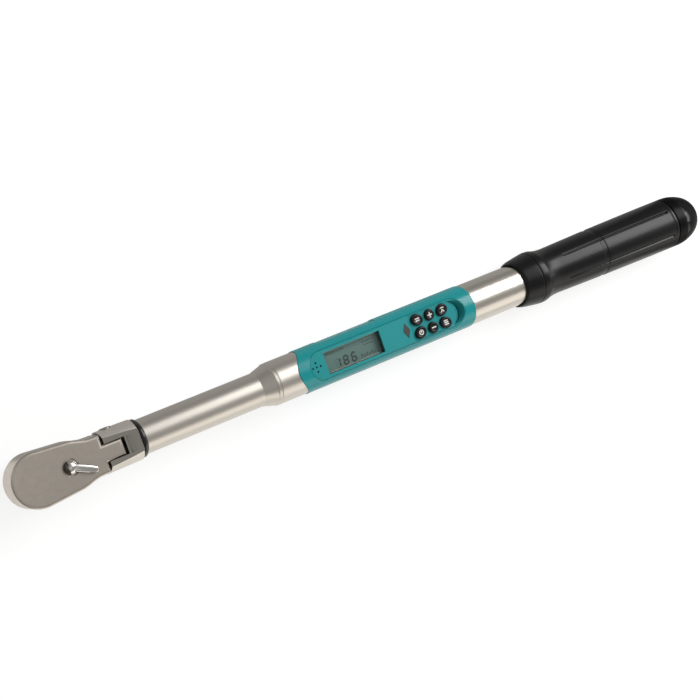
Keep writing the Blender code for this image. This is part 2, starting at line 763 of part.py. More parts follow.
def socket_ball():
    """Ball that holds the socket, and the spring behind it."""
    centre = (0, BALL_Y, BALL_Z)
    place(ball("drive_ball", centre, BALL_R, CHROME), centre)
    start = BALL_HOLE_END + 0.5
    length = BALL_Y - BALL_R - BALL_TRAVEL - GAP - start
    place(coil("drive_ball_spring", (0, start, BALL_Z), (0, 1, 0), length, 0.6 * BALL_R, 4.0))


def gear_cover():
    """Washer that closes the wheel's bore."""
    inner, outer, top = BOSS_R + GAP, BORE_R - SLIP, COVER_Z0 + COVER_THICK
    place(turned("gear_cover", [(top, inner), (top, outer), (COVER_Z0, outer), (COVER_Z0, inner)],
                 STEEL, ROUND_FACETS, upright=True))


def retaining_ring():
    """Snap ring, broadest opposite its gap."""
    broad, taper, steps = 2.6, 0.8, 20
    outer = arc(RING_GROOVE_R - SLIP, RING_ENDS, TAU - RING_ENDS, steps)
    inner = []
    for index in range(steps + 1):
        angle = TAU - RING_ENDS - (TAU - 2.0 * RING_ENDS) * index / steps
        radius = RING_GROOVE_R - broad + taper * abs(math.cos(0.5 * angle - QUARTER))
        inner.append((radius * math.cos(angle), radius * math.sin(angle)))
    place(plate("retaining_ring", [outer + inner], RING_Z0, RING_Z0 + RING_THICK, SPRING))


def pawl():
    """Double pawl: toothed wings on a hub around the lever's shaft."""
    steps = 2 * PAWL_TEETH
    front = []
    for index in range(steps + 1):
        angle = PAWL_SPREAD * (2.0 * index / steps - 1.0)
        radius = PAWL_R + (PAWL_TOOTH if index % 2 else 0.0)
        front.append((radius * math.cos(angle), radius * math.sin(angle)))
    back = arc(PAWL_BACK_R, 0.93 * PAWL_SPREAD, -0.93 * PAWL_SPREAD, 8)
    made = plate("pawl", [front + back], PAWL_Z0, PAWL_Z1, STEEL)
    fuse(made, upright("pawl_hub", LEVER_X, 0, PAWL_Z0, PAWL_Z1, PAWL_HUB_R, SMALL_FACETS, STEEL))
    cut(made, upright("pawl_bore", LEVER_X, 0, PAWL_Z0 - OVERCUT, PAWL_Z1 + OVERCUT,
                      LEVER_SHAFT_R + GAP, PIN_FACETS))
    place(made, (LEVER_X, 0, 0))
    turn_mesh(made, -PAWL_TURN, "Z")


def lever_arm():
    """Blunt arm of the lever, from inside its hub to its tip."""
    foot = HEAD_TOP + 0.75
    sections = ((0.0, 2.5, 0.0, 1.6), (3.5, 2.8, 0.0, 2.4), (8.0, 2.8, 0.0, 2.6), (14.0, 2.7, 0.0, 2.6),
                (18.4, 2.5, 0.0, 2.5), (19.9, 2.1, 0.1, 2.3), (20.5, 1.4, 0.4, 1.9))
    rings = []
    for x, half, low, high in sections:
        middle, rise = foot + 0.5 * (low + high), 0.5 * (high - low)
        rings.append([(x, y * half, middle + z * rise) for y, z in arc(1.0, 0.0, TAU, 12)[:-1]])
    return loft("arm", rings, CHROME)


def reverse_lever():
    """Direction lever: domed hub, arm, shaft and two notches for the detent ball."""
    dome_foot = HEAD_TOP
    steps = 5
    profile = [(dome_foot + LEVER_DOME * math.cos(QUARTER * k / steps),
                LEVER_HUB_R * math.sin(QUARTER * k / steps)) for k in range(steps + 1)]
    profile += [(LEVER_HUB_FOOT, LEVER_HUB_R), (LEVER_HUB_FOOT, LEVER_SHAFT_R),
                (LEVER_SHAFT_END, LEVER_SHAFT_R), (LEVER_SHAFT_END, 0.0)]
    lever = fuse(turned("reverse_lever", profile, CHROME, SMALL_FACETS, upright=True), lever_arm())
    turn_mesh(lever, LEVER_REST, "Z")
    for turn in (0.0, 2.0 * LEVER_REST):
        notch = ball("notch", (DETENT_X - LEVER_X, 0, DETENT_Z), DETENT_NOTCH_R)
        cut(lever, turn_mesh(notch, turn, "Z"))
    place(shift_mesh(lever, LEVER_X, 0, 0), (LEVER_X, 0, 0))


def lever_detent():
    """Ball that clicks into the lever's notches, and its spring."""
    place(ball("lever_ball", (DETENT_X, 0, DETENT_Z), DETENT_R, CHROME))
    start = DETENT_X + DETENT_R + 0.6
    length = DETENT_BORE_END - start - 0.8
    place(coil("lever_ball_spring", (start, 0, DETENT_Z), (1, 0, 0), length, DETENT_COIL_R, 4.5))


def fork_side_cutters(side):
    """Cutters of the tilted flat, the arms' tips and the slot's ramp on one side."""
    past, deep = 12.0, FORK_TIP_R + 3.5
    lid = box("flat", (-past, -deep, 0), (FORK_LENGTH + 0.6, deep, past))
    shift_mesh(turn_mesh(lid, -FORK_FLAT_TILT, "Y"), FORK_TIP_X, 0, FORK_FLAT_Z)
    nose = box("nose", (-past, -deep, -OVERCUT), (0, deep, deep))
    shift_mesh(turn_mesh(nose, FORK_TIP_TILT, "Y"), FORK_TIP_X + 0.02, 0, 0.4)
    outline = [(SLOT_END_X - 2.0, RAMP_LOW_Z), (SLOT_END_X - 0.01, RAMP_LOW_Z), (RAMP_END_X, RAMP_HIGH_Z),
               (RAMP_END_X, deep), (SLOT_END_X - 2.0, deep)]
    ramp = turn_mesh(plate("ramp", [outline], -SLOT_HALF, SLOT_HALF, None), QUARTER, "X")
    cutters = (lid, nose, ramp)
    if side < 0:
        for item in cutters:
            turn_mesh(item, 2.0 * QUARTER, "X")
    return cutters


def fork():
    """Fork: turned body and spigot, flatted arms, slot, pin bore and plunger bore."""
    made = turned("fork", [
        (FORK_TIP_X, 0.0), (FORK_TIP_X, FORK_TIP_R), (FLEX_X + 10.7, FORK_TIP_R - 0.15),
        (FORK_END_X - FORK_EDGE, FORK_END_R), (FORK_END_X, FORK_END_R - FORK_EDGE), (FORK_END_X, SPIGOT_R),
        (SPIGOT_END_X - OVERCUT, SPIGOT_R), (SPIGOT_END_X, SPIGOT_R - OVERCUT), (SPIGOT_END_X, 0.0)], SATIN)
    deep = FORK_TIP_R + 3.5
    cut(made,
        box("slot", (FORK_TIP_X - 5.0, -SLOT_HALF, -deep), (SLOT_END_X, SLOT_HALF, deep)),
        rod("pin_bore", (FLEX_X, -deep, 0), (FLEX_X, deep, 0), PIN_R + SLIP),
        rod("pin_seat", (FLEX_X, FORK_TIP_R - 1.9, 0), (FLEX_X, deep, 0), PIN_HEAD_R + SLIP),
        rod("plunger_bore", (SLOT_END_X - OVERCUT, 0, 0), (PLUNGER_BORE_END, 0, 0),
            PLUNGER_R + GAP, PIN_FACETS))
    for side in (1, -1):
        cut(made, *fork_side_cutters(side))
    place(made)


def flex_pin():
    """Flex pin with a ridged head."""
    face = FORK_TIP_R + 0.3
    pin = rod("flex_pin", (FLEX_X, 0.8 - FORK_TIP_R, 0), (FLEX_X, FORK_TIP_R - 1.0, 0), PIN_R,
              PIN_FACETS, STEEL)
    fuse(pin, rod("pin_head", (FLEX_X, FORK_TIP_R - 1.6, 0), (FLEX_X, face, 0), PIN_HEAD_R,
                  SMALL_FACETS, STEEL))
    for index in range(PIN_RIDGES):
        x = FLEX_X + PIN_RIDGE_STEP * (index - 0.5 * (PIN_RIDGES - 1)) - 0.5 * PIN_RIDGE_WIDTH
        cut(pin, box("ridge", (x, face - PIN_RIDGE_DEPTH, -PIN_HEAD_R - OVERCUT),
                     (x + PIN_RIDGE_WIDTH, face + OVERCUT, PIN_HEAD_R + OVERCUT)))
    place(pin, (FLEX_X, 0, 0))


def flex_plunger():
    """Plunger that presses on the tang, and its spring."""
    end = PLUNGER_X + PLUNGER_LENGTH
    body_end = PLUNGER_X + PLUNGER_BODY
    place(turned("flex_plunger", [
        (PLUNGER_X, 0.0), (PLUNGER_X, PLUNGER_TIP_R), (PLUNGER_X + 1.3, PLUNGER_R), (body_end, PLUNGER_R),
        (body_end, PLUNGER_TIP_R), (end, PLUNGER_TIP_R), (end, 0.0)], STEEL, 12), (PLUNGER_X, 0, 0))
    start = body_end + 1.2
    place(coil("flex_spring", (start, 0, 0), (1, 0, 0), PLUNGER_BORE_END - start - 0.4, 1.9, 4.0, 0.32))


def torque_beam():
    """Beam that bends under the load, waisted where its gauges sit."""
    beam = box("torque_beam", (BEAM_X0, -BEAM_HALF_Y, -BEAM_HALF_Z),
               (BEAM_X1, BEAM_HALF_Y, BEAM_HALF_Z), STEEL)
    modify(beam, "BEVEL", width=BEAM_EDGE * MM, segments=1, limit_method="ANGLE",
           angle_limit=math.radians(50.0))
    x0, x1 = WAIST_X - WAIST_HALF, WAIST_X + WAIST_HALF
    wide, tall = BEAM_HALF_Y + OVERCUT, BEAM_HALF_Z + OVERCUT
    cut(beam,
        box("top_waist", (x0, -wide, WAIST_Z), (x1, wide, tall)),
        box("lower_waist", (x0, -wide, -tall), (x1, wide, -WAIST_Z)),
        box("far_waist", (x0, WAIST_Y, -tall), (x1, wide, tall)),
        box("near_waist", (x0, -wide, -tall), (x1, -WAIST_Y, tall)))
    place(beam)


def strain_gauges():
    """Four foil gauges on the sides of the beam's waist."""
    number = 0
    for side in (1, -1):
        for offset in (-GAUGE_OFFSET, GAUGE_OFFSET):
            number += 1
            x = WAIST_X + offset
            near = side * (WAIST_Y + GAUGE_GLUE)
            low, high = sorted((near, near + side * GAUGE_THICK))
            place(box("strain_gauge_%d" % number, (x - GAUGE_HALF_X, low, -GAUGE_HALF_Z),
                      (x + GAUGE_HALF_X, high, GAUGE_HALF_Z), GAUGE))


def house_ends(angle, spread):
    """Ends of the display sleeve at an angle from the top, widened by a gap."""
    turn = abs(angle)
    left = HOUSE_LEFT + HOUSE_TONGUE * smooth(turn / HOUSE_TONGUE_TURN)
    right = HOUSE_RIGHT - HOUSE_BOW * min(turn / QUARTER, 1.0) ** 2
    return left - spread, right + spread


def sleeve(name, inner, outer, spread, surface):
    """Sleeve around the tool's axis with the display housing's curved ends."""
    rows = []
    for index in range(ROUND_FACETS):
        angle = TAU * index / ROUND_FACETS - 2.0 * QUARTER
        left, right = house_ends(angle, spread)
        if surface is None:
            corners = [(left, inner), (left, outer), (right, outer), (right, inner)]
        else:
            corners = [(left, inner), (left, outer - HOUSE_EDGE), (left + HOUSE_EDGE, outer),
                       (right - HOUSE_EDGE, outer), (right, outer - HOUSE_EDGE), (right, inner)]
        rows.append([(x, radius * math.sin(angle), radius * math.cos(angle)) for x, radius in corners])
    return loft(name, rows, surface, closed=True)


def panel_outline(spread):
    """Outer outline of the panel, widened by a gap."""
    return stadium(POCKET_X0 - RIM - spread, POCKET_RIM_X1 + RIM + spread, POCKET_HALF + RIM + spread)


def panel_opening(spread):
    """Cutter that opens the tube or the sleeve for the panel."""
    return plate("opening", [panel_outline(spread)], 0.0, HOUSE_R + OVERCUT, None)


def tube():
    """Tube with its neck, flare, seat for the display sleeve and opening for the panel."""
    made = turned("tube", [
        (NECK_START_X, NECK_BORE_R), (NECK_START_X, NECK_R - TUBE_EDGE), (NECK_START_X + TUBE_EDGE, NECK_R),
        (FLARE_X0 - 2.0, NECK_R), (FLARE_X0 + 0.6, NECK_R + 0.25), (FLARE_X1 - 1.5, TUBE_R - 0.35),
        (FLARE_X1 + 1.0, TUBE_R), (TUBE_END_X - TUBE_EDGE, TUBE_R), (TUBE_END_X, TUBE_R - TUBE_EDGE),
        (TUBE_END_X, TUBE_BORE_R), (FLARE_X1 + 2.5, TUBE_BORE_R), (FLARE_X1 - 3.5, NECK_BORE_R)], SATIN)
    cut(made, sleeve("seat", HOUSE_SEAT_R, TUBE_R + 2.0, SLIP, None), panel_opening(GAP))
    place(made, sharp=28.0)


def display_housing():
    """Sleeve around the tube, open for the panel and flattened on its far side."""
    made = sleeve("display_housing", HOUSE_SEAT_R + GAP, HOUSE_R, 0.0, TEAL)
    flat = box("side_flat", (SIDE_FLAT_X0, SIDE_FLAT_Y, SIDE_FLAT_Z0),
               (SIDE_FLAT_X1, HOUSE_R + OVERCUT, SIDE_FLAT_Z1))
    place(cut(made, panel_opening(GAP), flat), sharp=28.0)


def pocket_cutter():
    """Cutter of the panel's pocket, whose rear end slopes."""
    slope = (POCKET_RIM_X1 - POCKET_FLOOR_X1) * (HOUSE_R + 0.5 - POCKET_FLOOR) / (HOUSE_R - POCKET_FLOOR)
    rings = []
    for level, reach in ((POCKET_FLOOR, 0.0), (HOUSE_R + 0.5, slope)):
        ring = []
        for x, y in stadium(POCKET_X0, POCKET_FLOOR_X1, POCKET_HALF):
            share = max(x - (POCKET_FLOOR_X1 - POCKET_HALF), 0.0) / POCKET_HALF
            ring.append((x + reach * share ** POCKET_SLOPE_BOW, y, level))
        rings.append(ring)
    return loft("pocket", rings, None)


def light_outline(spread):
    """Diamond outline of the lamp window, widened by a gap."""
    diamond = [(LIGHT_X - LIGHT_HALF_X, 0.0), (LIGHT_X, -LIGHT_HALF_Y),
               (LIGHT_X + LIGHT_HALF_X, 0.0), (LIGHT_X, LIGHT_HALF_Y)]
    return inset(diamond, -spread)


def mat_outline(spread):
    """Straight front edge and round rear end of the keypad film, widened by a gap."""
    half = POCKET_HALF - MAT_INSET + spread
    rear = POCKET_FLOOR_X1 - MAT_INSET + spread
    end = arc(half, -QUARTER, QUARTER, 10)
    front = MAT_X0 - spread
    return [(front, half), (front, -half)] + [(rear - half + x, y) for x, y in end]


def key_places():
    """Name, centre, half-length and lean of each key; the outer four lean away from the middle."""
    names = (("key_unit", "key_plus", "key_peak"), ("key_power", "key_minus", "key_mode"))
    places = []
    for row, side in zip(names, (1, -1)):
        for name, column in zip(row, (-1, 0, 1)):
            x = KEY_X + KEY_PITCH * (column + 1)
            half = KEY_LONG if column else KEY_MIDDLE
            places.append((name, x, KEY_ROW * side, half, KEY_LEAN * side * column))
    return places


def key_holes():
    """Cutters of the six key holes."""
    return [plate("key_hole", [oval(half + SLIP, KEY_SHORT + SLIP, x, y, lean)], PANEL_FLOOR - OVERCUT,
                  KEY_TOP, None) for name, x, y, half, lean in key_places()]


def display_bezel():
    """Panel: rim, pocket, window, sound holes, lamp seat, film seat and key holes."""
    top = HOUSE_R + OVERCUT
    bezel = plate("display_bezel", [panel_outline(0.0)], PANEL_FLOOR, top, TEAL_PANEL)
    hull = rod("hull", (POCKET_X0 - 5.0, 0, 0), (POCKET_RIM_X1 + 5.0, 0, 0), HOUSE_R, 72)
    combine(bezel, [hull], "INTERSECT")
    cut(bezel, pocket_cutter(),
        box("window", (WINDOW_X0, -WINDOW_HALF, PANEL_FLOOR - OVERCUT), (WINDOW_X1, WINDOW_HALF, top)))
    for dx, dy in ((0, 0), (1, 0), (-1, 0), (0, 1), (0, -1)):
        cut(bezel, upright("sound_hole", SOUND_X + SOUND_STEP * dx, SOUND_STEP * dy,
                           PANEL_FLOOR - OVERCUT, top, SOUND_R, HOLE_FACETS))
    cut(bezel,
        plate("light_seat", [light_outline(0.25)], POCKET_FLOOR - LIGHT_SINK - SLIP, top, None),
        plate("mat_seat", [mat_outline(SLIP)], POCKET_FLOOR - MAT_THICK - SLIP, top, None),
        *key_holes())
    place(bezel, sharp=25.0)


def keypad():
    """Keypad film, the six keys and the lamp window beside them."""
    mat = plate("keypad_mat", [mat_outline(0.0)], POCKET_FLOOR - MAT_THICK, POCKET_FLOOR, TEAL_PANEL)
    place(cut(mat, *key_holes()))
    flange_top = PANEL_FLOOR - GAP
    layers = ((flange_top - KEY_FLANGE_THICK, KEY_FLANGE), (flange_top, KEY_FLANGE), (flange_top, 0.0),
              (KEY_TOP - 1.0, 0.0), (KEY_TOP - 0.3, -0.35), (KEY_TOP, -1.2), (KEY_TOP - 0.15, -2.6))
    for name, x, y, half, lean in key_places():
        rings = [[(px, py, level) for px, py in oval(half + grow, KEY_SHORT + grow, x, y, lean)]
                 for level, grow in layers]
        key = loft(name, rings, KEY_BLACK)
        fuse(key, upright("stem", x, y, BOARD_TOP + KEY_TRAVEL + GAP, flange_top - 0.5, KEY_STEM_R,
                          HOLE_FACETS, KEY_BLACK))
        place(key, (x, y, KEY_TOP), sharp=40.0)
    light_z0 = POCKET_FLOOR - LIGHT_SINK
    place(plate("indicator_window", [light_outline(0.0)], light_z0, light_z0 + LIGHT_THICK, SMOKED))


def electronics_tray():
    """Tray under the panel, hollow below, with wells for display, buzzer and keys."""
    inner = TRAY_INSET + TRAY_WALL
    top = PANEL_FLOOR - 0.1
    outline = stadium(POCKET_X0 + TRAY_INSET, POCKET_RIM_X1 - TRAY_INSET, TRAY_HALF, 6)
    hollow = stadium(POCKET_X0 + inner, POCKET_RIM_X1 - inner, TRAY_HALF - 1.2, 6)
    tray = plate("electronics_tray", [outline], TRAY_Z0, top, INNER)
    cut(tray,
        plate("hollow", [hollow], TRAY_Z0 - OVERCUT, TRAY_FLOOR - TRAY_ROOF, None),
        box("display_well", (WINDOW_X0 - GAP, -WINDOW_HALF - GAP, TRAY_FLOOR),
            (WINDOW_X1 + GAP, WINDOW_HALF + GAP, top + OVERCUT)),
        upright("buzzer_well", SOUND_X, 0, BUZZER_TOP - BUZZER_THICK - GAP, top + OVERCUT,
                BUZZER_R + GAP, PIN_FACETS),
        box("key_well", (MAT_X0 - 0.6, -TRAY_HALF - OVERCUT, TRAY_KEY_FLOOR),
            (POCKET_FLOOR_X1 + OVERCUT, TRAY_HALF + OVERCUT, top + OVERCUT)))
    for name, x, y, half, lean in key_places():
        cut(tray, upright("stem_hole", x, y, TRAY_FLOOR - TRAY_ROOF - OVERCUT, TRAY_KEY_FLOOR + OVERCUT,
                          KEY_STEM_R + 0.5, HOLE_FACETS))
    place(tray)


def display():
    """Crystal, its bright frame and the clear window over them."""
    x0, x1, half = WINDOW_X0 + 0.1, WINDOW_X1 - 0.1, WINDOW_HALF - 0.1
    level = TRAY_FLOOR + 0.2
    place(box("lcd_glass", (x0, -half, level), (x1, half, level + LCD_THICK), LCD))
    level += LCD_THICK + 0.2
    width = LCD_FRAME_WIDTH
    outlines = [rectangle(x0, x1, half), rectangle(x0 + width, x1 - width, half - width)]
    place(plate("lcd_frame", outlines, level, level + LCD_FRAME_THICK, SILVER))
    level += LCD_FRAME_THICK + 0.3
    place(box("display_lens", (x0, -half, level), (x1, half, level + LENS_THICK), CLEAR))


def buzzer():
    """Buzzer under the sound holes."""
    foot = BUZZER_TOP - BUZZER_THICK
    made = turned("buzzer", [
        (BUZZER_TOP, 0.0), (BUZZER_TOP, BUZZER_R - 0.7), (BUZZER_TOP - 0.4, BUZZER_R), (foot, BUZZER_R),
        (foot, 0.0)], INNER, PIN_FACETS, upright=True)
    place(shift_mesh(made, SOUND_X, 0, 0))


def circuit_board():
    """Circuit board in the tray's hollow."""
    inset_x = TRAY_INSET + TRAY_WALL + 0.6
    outline = stadium(POCKET_X0 + inset_x, POCKET_RIM_X1 - inset_x, TRAY_HALF - 1.7, 6)
    place(plate("circuit_board", [outline], BOARD_TOP - BOARD_THICK, BOARD_TOP, BOARD))


def mouth(angle):
    """Station of the grip's mouth at an angle from the +Y side."""
    return MOUTH_X + MOUTH_RISE * (1.0 - (1.0 - abs(math.sin(angle))) ** MOUTH_CURVE)


def collar_radius(station):
    """Radius of the conical collar behind the mouth."""
    share = (station - MOUTH_X) / COLLAR_LENGTH
    return TUBE_R + COLLAR_LOW + (COLLAR_HIGH - COLLAR_LOW) * share


def grip_body():
    """Grip with its beaked mouth, bead, waist and shallow band."""
    rows = []
    for index in range(GRIP_FACETS):
        angle = TAU * index / GRIP_FACETS
        lip = mouth(angle)
        middle = 0.5 * (lip + MOUTH_X + COLLAR_LENGTH)
        section = [(lip, collar_radius(lip)), (middle, collar_radius(middle))]
        section += [(MOUTH_X + station, TUBE_R + thick) for station, thick in GRIP_PROFILE]
        section += [(GRIP_END_X, GRIP_BORE_R), (lip + 4.0, GRIP_BORE_R), (lip, GRIP_BORE_R + 0.25)]
        rows.append([(x, radius * math.cos(angle), radius * math.sin(angle)) for x, radius in section])
    return loft("grip_sleeve", rows, GRIP, closed=True)


def grip_sleeve():
    """Grip with its long grooves, which deepen towards the rear."""
    grip = grip_body()
    length = GROOVE_X1 - GROOVE_X0
    rise = math.atan((GROOVE_FLOOR_1 - GROOVE_FLOOR_0) / length)
    for index in range(GROOVE_COUNT):
        groove = box("groove", (0, -0.5 * GROOVE_WIDTH, 0), (length, 0.5 * GROOVE_WIDTH, 8.0))
        shift_mesh(turn_mesh(groove, -rise, "Y"), GROOVE_X0, 0, TUBE_R + GROOVE_FLOOR_0)
        cut(grip, turn_mesh(groove, TAU * (index + 0.5) / GROOVE_COUNT, "X"))
    place(grip, sharp=25.0)


def battery_holder():
    """Holder that centres the cells in the tube and lets the contact through."""
    front, rear = CELL_X0 - 8.0, CELL_END - 5.0
    seat = CELL_X0 - 3.2
    place(turned("battery_holder", [
        (front, HOLDER_R), (front + HOLDER_END, HOLDER_R), (front + HOLDER_END, HOLDER_WAIST_R),
        (rear - 4.0, HOLDER_WAIST_R), (rear - 4.0, HOLDER_R), (rear, HOLDER_R), (rear, HOLDER_BORE_R),
        (seat, HOLDER_BORE_R), (seat, HOLDER_END), (front, HOLDER_END)], INNER, PIN_FACETS))


def contact_plate():
    """Brass contact with a pip that meets the first cell."""
    x = CELL_X0 - 2.9
    place(turned("contact_plate", [(x, 0.0), (x, 6.6), (x + 0.6, 6.6), (x + 0.6, 1.6), (x + 2.6, 1.2),
                                   (x + 2.6, 0.0)], BRASS, 12))


def cells():
    """Round dry cells in a row, each nub towards the display."""
    for index in range(CELL_COUNT):
        x = CELL_X0 + index * CELL_PITCH
        shoulder, end = x + CELL_NUB, x + CELL_NUB + CELL_BODY
        place(turned("cell_%d" % (index + 1), [
            (x, 0.0), (x, CELL_NUB_R), (shoulder, CELL_NUB_R), (shoulder, CELL_R - CELL_EDGE),
            (shoulder + CELL_EDGE, CELL_R), (end - CELL_EDGE, CELL_R), (end, CELL_R - CELL_EDGE),
            (end, 0.0)], CELL, 12), (x, 0, 0))


def end_cap():
    """Cap: hollow spigot with a seal groove, shoulder, rim and rounded end."""
    low, high = SEAL_X - SEAL_HALF, SEAL_X + SEAL_HALF
    plate_r = GRIP_BORE_R - 0.4
    place(turned("end_cap", [
        (CAP_SPIGOT_X0, CAP_BORE_R), (CAP_SPIGOT_X0, CAP_SPIGOT_R), (low, CAP_SPIGOT_R), (low, SEAL_GROOVE_R),
        (high, SEAL_GROOVE_R), (high, CAP_SPIGOT_R), (CAP_PLATE_X0, CAP_SPIGOT_R), (CAP_PLATE_X0, plate_r),
        (CAP_X0, plate_r), (CAP_X0, TUBE_R + 3.6), (CAP_X0 + 1.0, TUBE_R + GRIP_REAR - 0.1),
        (CAP_X0 + 9.3, TUBE_R + GRIP_REAR), (CAP_X0 + 12.2, TUBE_R + 4.0), (CAP_END_X - 9.3, TUBE_R + 0.4),
        (CAP_END_X - 5.4, TUBE_R - 1.9), (CAP_END_X - 2.0, TUBE_R - 6.7), (CAP_END_X, 0.0),
        (CAP_BORE_X1, 0.0), (CAP_BORE_X1, CAP_BORE_R)], GRIP), (CAP_X0, 0, 0), 25.0)


def cap_fittings():
    """Seal on the cap's spigot, and the spring that presses on the cells."""
    place(ring_seal("cap_seal", SEAL_X, CAP_SPIGOT_R + 0.1, SEAL_SECTION, SMALL_FACETS), (CAP_X0, 0, 0))
    start = CELL_END + 0.4
    place(coil("contact_spring", (start, 0, 0), (1, 0, 0), CAP_BORE_X1 - start - 0.8, 0.5 * CELL_R, 4.0,
               0.45, CAP_BORE_R - 1.2), (CAP_X0, 0, 0))


# Head and drive.
head_housing()
drive_gear()
socket_ball()
gear_cover()
retaining_ring()
pawl()
reverse_lever()
lever_detent()

# Fork and tube.
fork()
flex_pin()
flex_plunger()
place(ring_seal("fork_seal_ring", 0.5 * (FORK_END_X + NECK_START_X), RING_OUTER_R, RING_SECTION))
torque_beam()
strain_gauges()
tube()

# Display and keys.
display_housing()
display_bezel()
keypad()
electronics_tray()
display()
buzzer()
circuit_board()

# Grip, cells and cap.
grip_sleeve()
battery_holder()
contact_plate()
cells()
end_cap()
cap_fittings()
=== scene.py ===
"""Digital torque wrench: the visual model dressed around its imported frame.

The tool lies along +X with its ratchet head at X = 0 and its display facing +Z.
Lengths in this file are millimetres, measured from the tool's axis unless a
docstring says otherwise, and are turned into metres where a mesh is made.
"""
import logging
import math
from collections.abc import Callable, Iterable, Sequence
from dataclasses import dataclass, field
from enum import Enum

import bmesh
import bpy
from mathutils import Matrix, Vector


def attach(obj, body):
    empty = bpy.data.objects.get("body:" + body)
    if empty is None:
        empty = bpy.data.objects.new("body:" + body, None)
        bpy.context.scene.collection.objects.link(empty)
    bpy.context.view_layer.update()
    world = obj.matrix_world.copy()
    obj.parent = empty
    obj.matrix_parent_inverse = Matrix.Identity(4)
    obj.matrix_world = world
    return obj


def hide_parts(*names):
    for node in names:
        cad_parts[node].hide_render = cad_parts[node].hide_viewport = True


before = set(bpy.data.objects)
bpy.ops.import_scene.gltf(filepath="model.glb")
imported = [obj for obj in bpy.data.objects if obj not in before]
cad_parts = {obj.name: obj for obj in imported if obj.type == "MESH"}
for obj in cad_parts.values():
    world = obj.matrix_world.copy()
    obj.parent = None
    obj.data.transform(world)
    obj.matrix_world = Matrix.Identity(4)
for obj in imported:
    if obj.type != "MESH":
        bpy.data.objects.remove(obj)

Point = tuple[float, float, float]
Flat = tuple[float, float]
Ring = list[Point]

MM = 0.001
TAU = 2.0 * math.pi
AXIS_Z = 29.0
GAP = 0.30
SLIP = 0.15
ROUND = 160
SMALL = 64
FINE = 32
OVERCUT = 1.0
THROUGH = 20.0
LEVER_X = 25.1
FLEX_X = 63.5
PIN_BORE = 3.15
HOUSING_RADIUS = 18.05

logging.basicConfig(level=logging.INFO, format="%(message)s")
log = logging.getLogger("torque_wrench")


class Axis(Enum):
    """Direction that a turned piece is turned about."""

    ALONG = "x"
    ACROSS = "y"
    UP = "z"


class Operation(Enum):
    """What a Boolean does with its second solid."""

    CUT = "DIFFERENCE"
    FUSE = "UNION"


def linear(hex_colour: str) -> tuple[float, float, float, float]:
    """Turns an sRGB hex colour into linear values.

    Args:
        hex_colour: The colour as "#rrggbb".

    Returns:
        Linear red, green and blue, and an alpha of 1.
    """
    values = []
    for start in (1, 3, 5):
        share = int(hex_colour[start:start + 2], 16) / 255.0
        values.append(share / 12.92 if share <= 0.04045 else ((share + 0.055) / 1.055) ** 2.4)
    return values[0], values[1], values[2], 1.0


def add_node(tree: bpy.types.NodeTree, kind: str, settings: dict | None = None,
             links: dict | None = None) -> bpy.types.Node:
    """Adds a node with its settings and links.

    Args:
        tree: The node tree that takes the node.
        kind: The node's type name.
        settings: Values by property name, or by input name or number.
        links: Output sockets by the name or number of the input they feed.

    Returns:
        The new node.
    """
    node = tree.nodes.new(kind)
    for key, value in (settings or {}).items():
        if isinstance(key, str) and hasattr(node, key):
            setattr(node, key, value)
        else:
            node.inputs[key].default_value = value
    for key, socket in (links or {}).items():
        tree.links.new(socket, node.inputs[key])
    return node


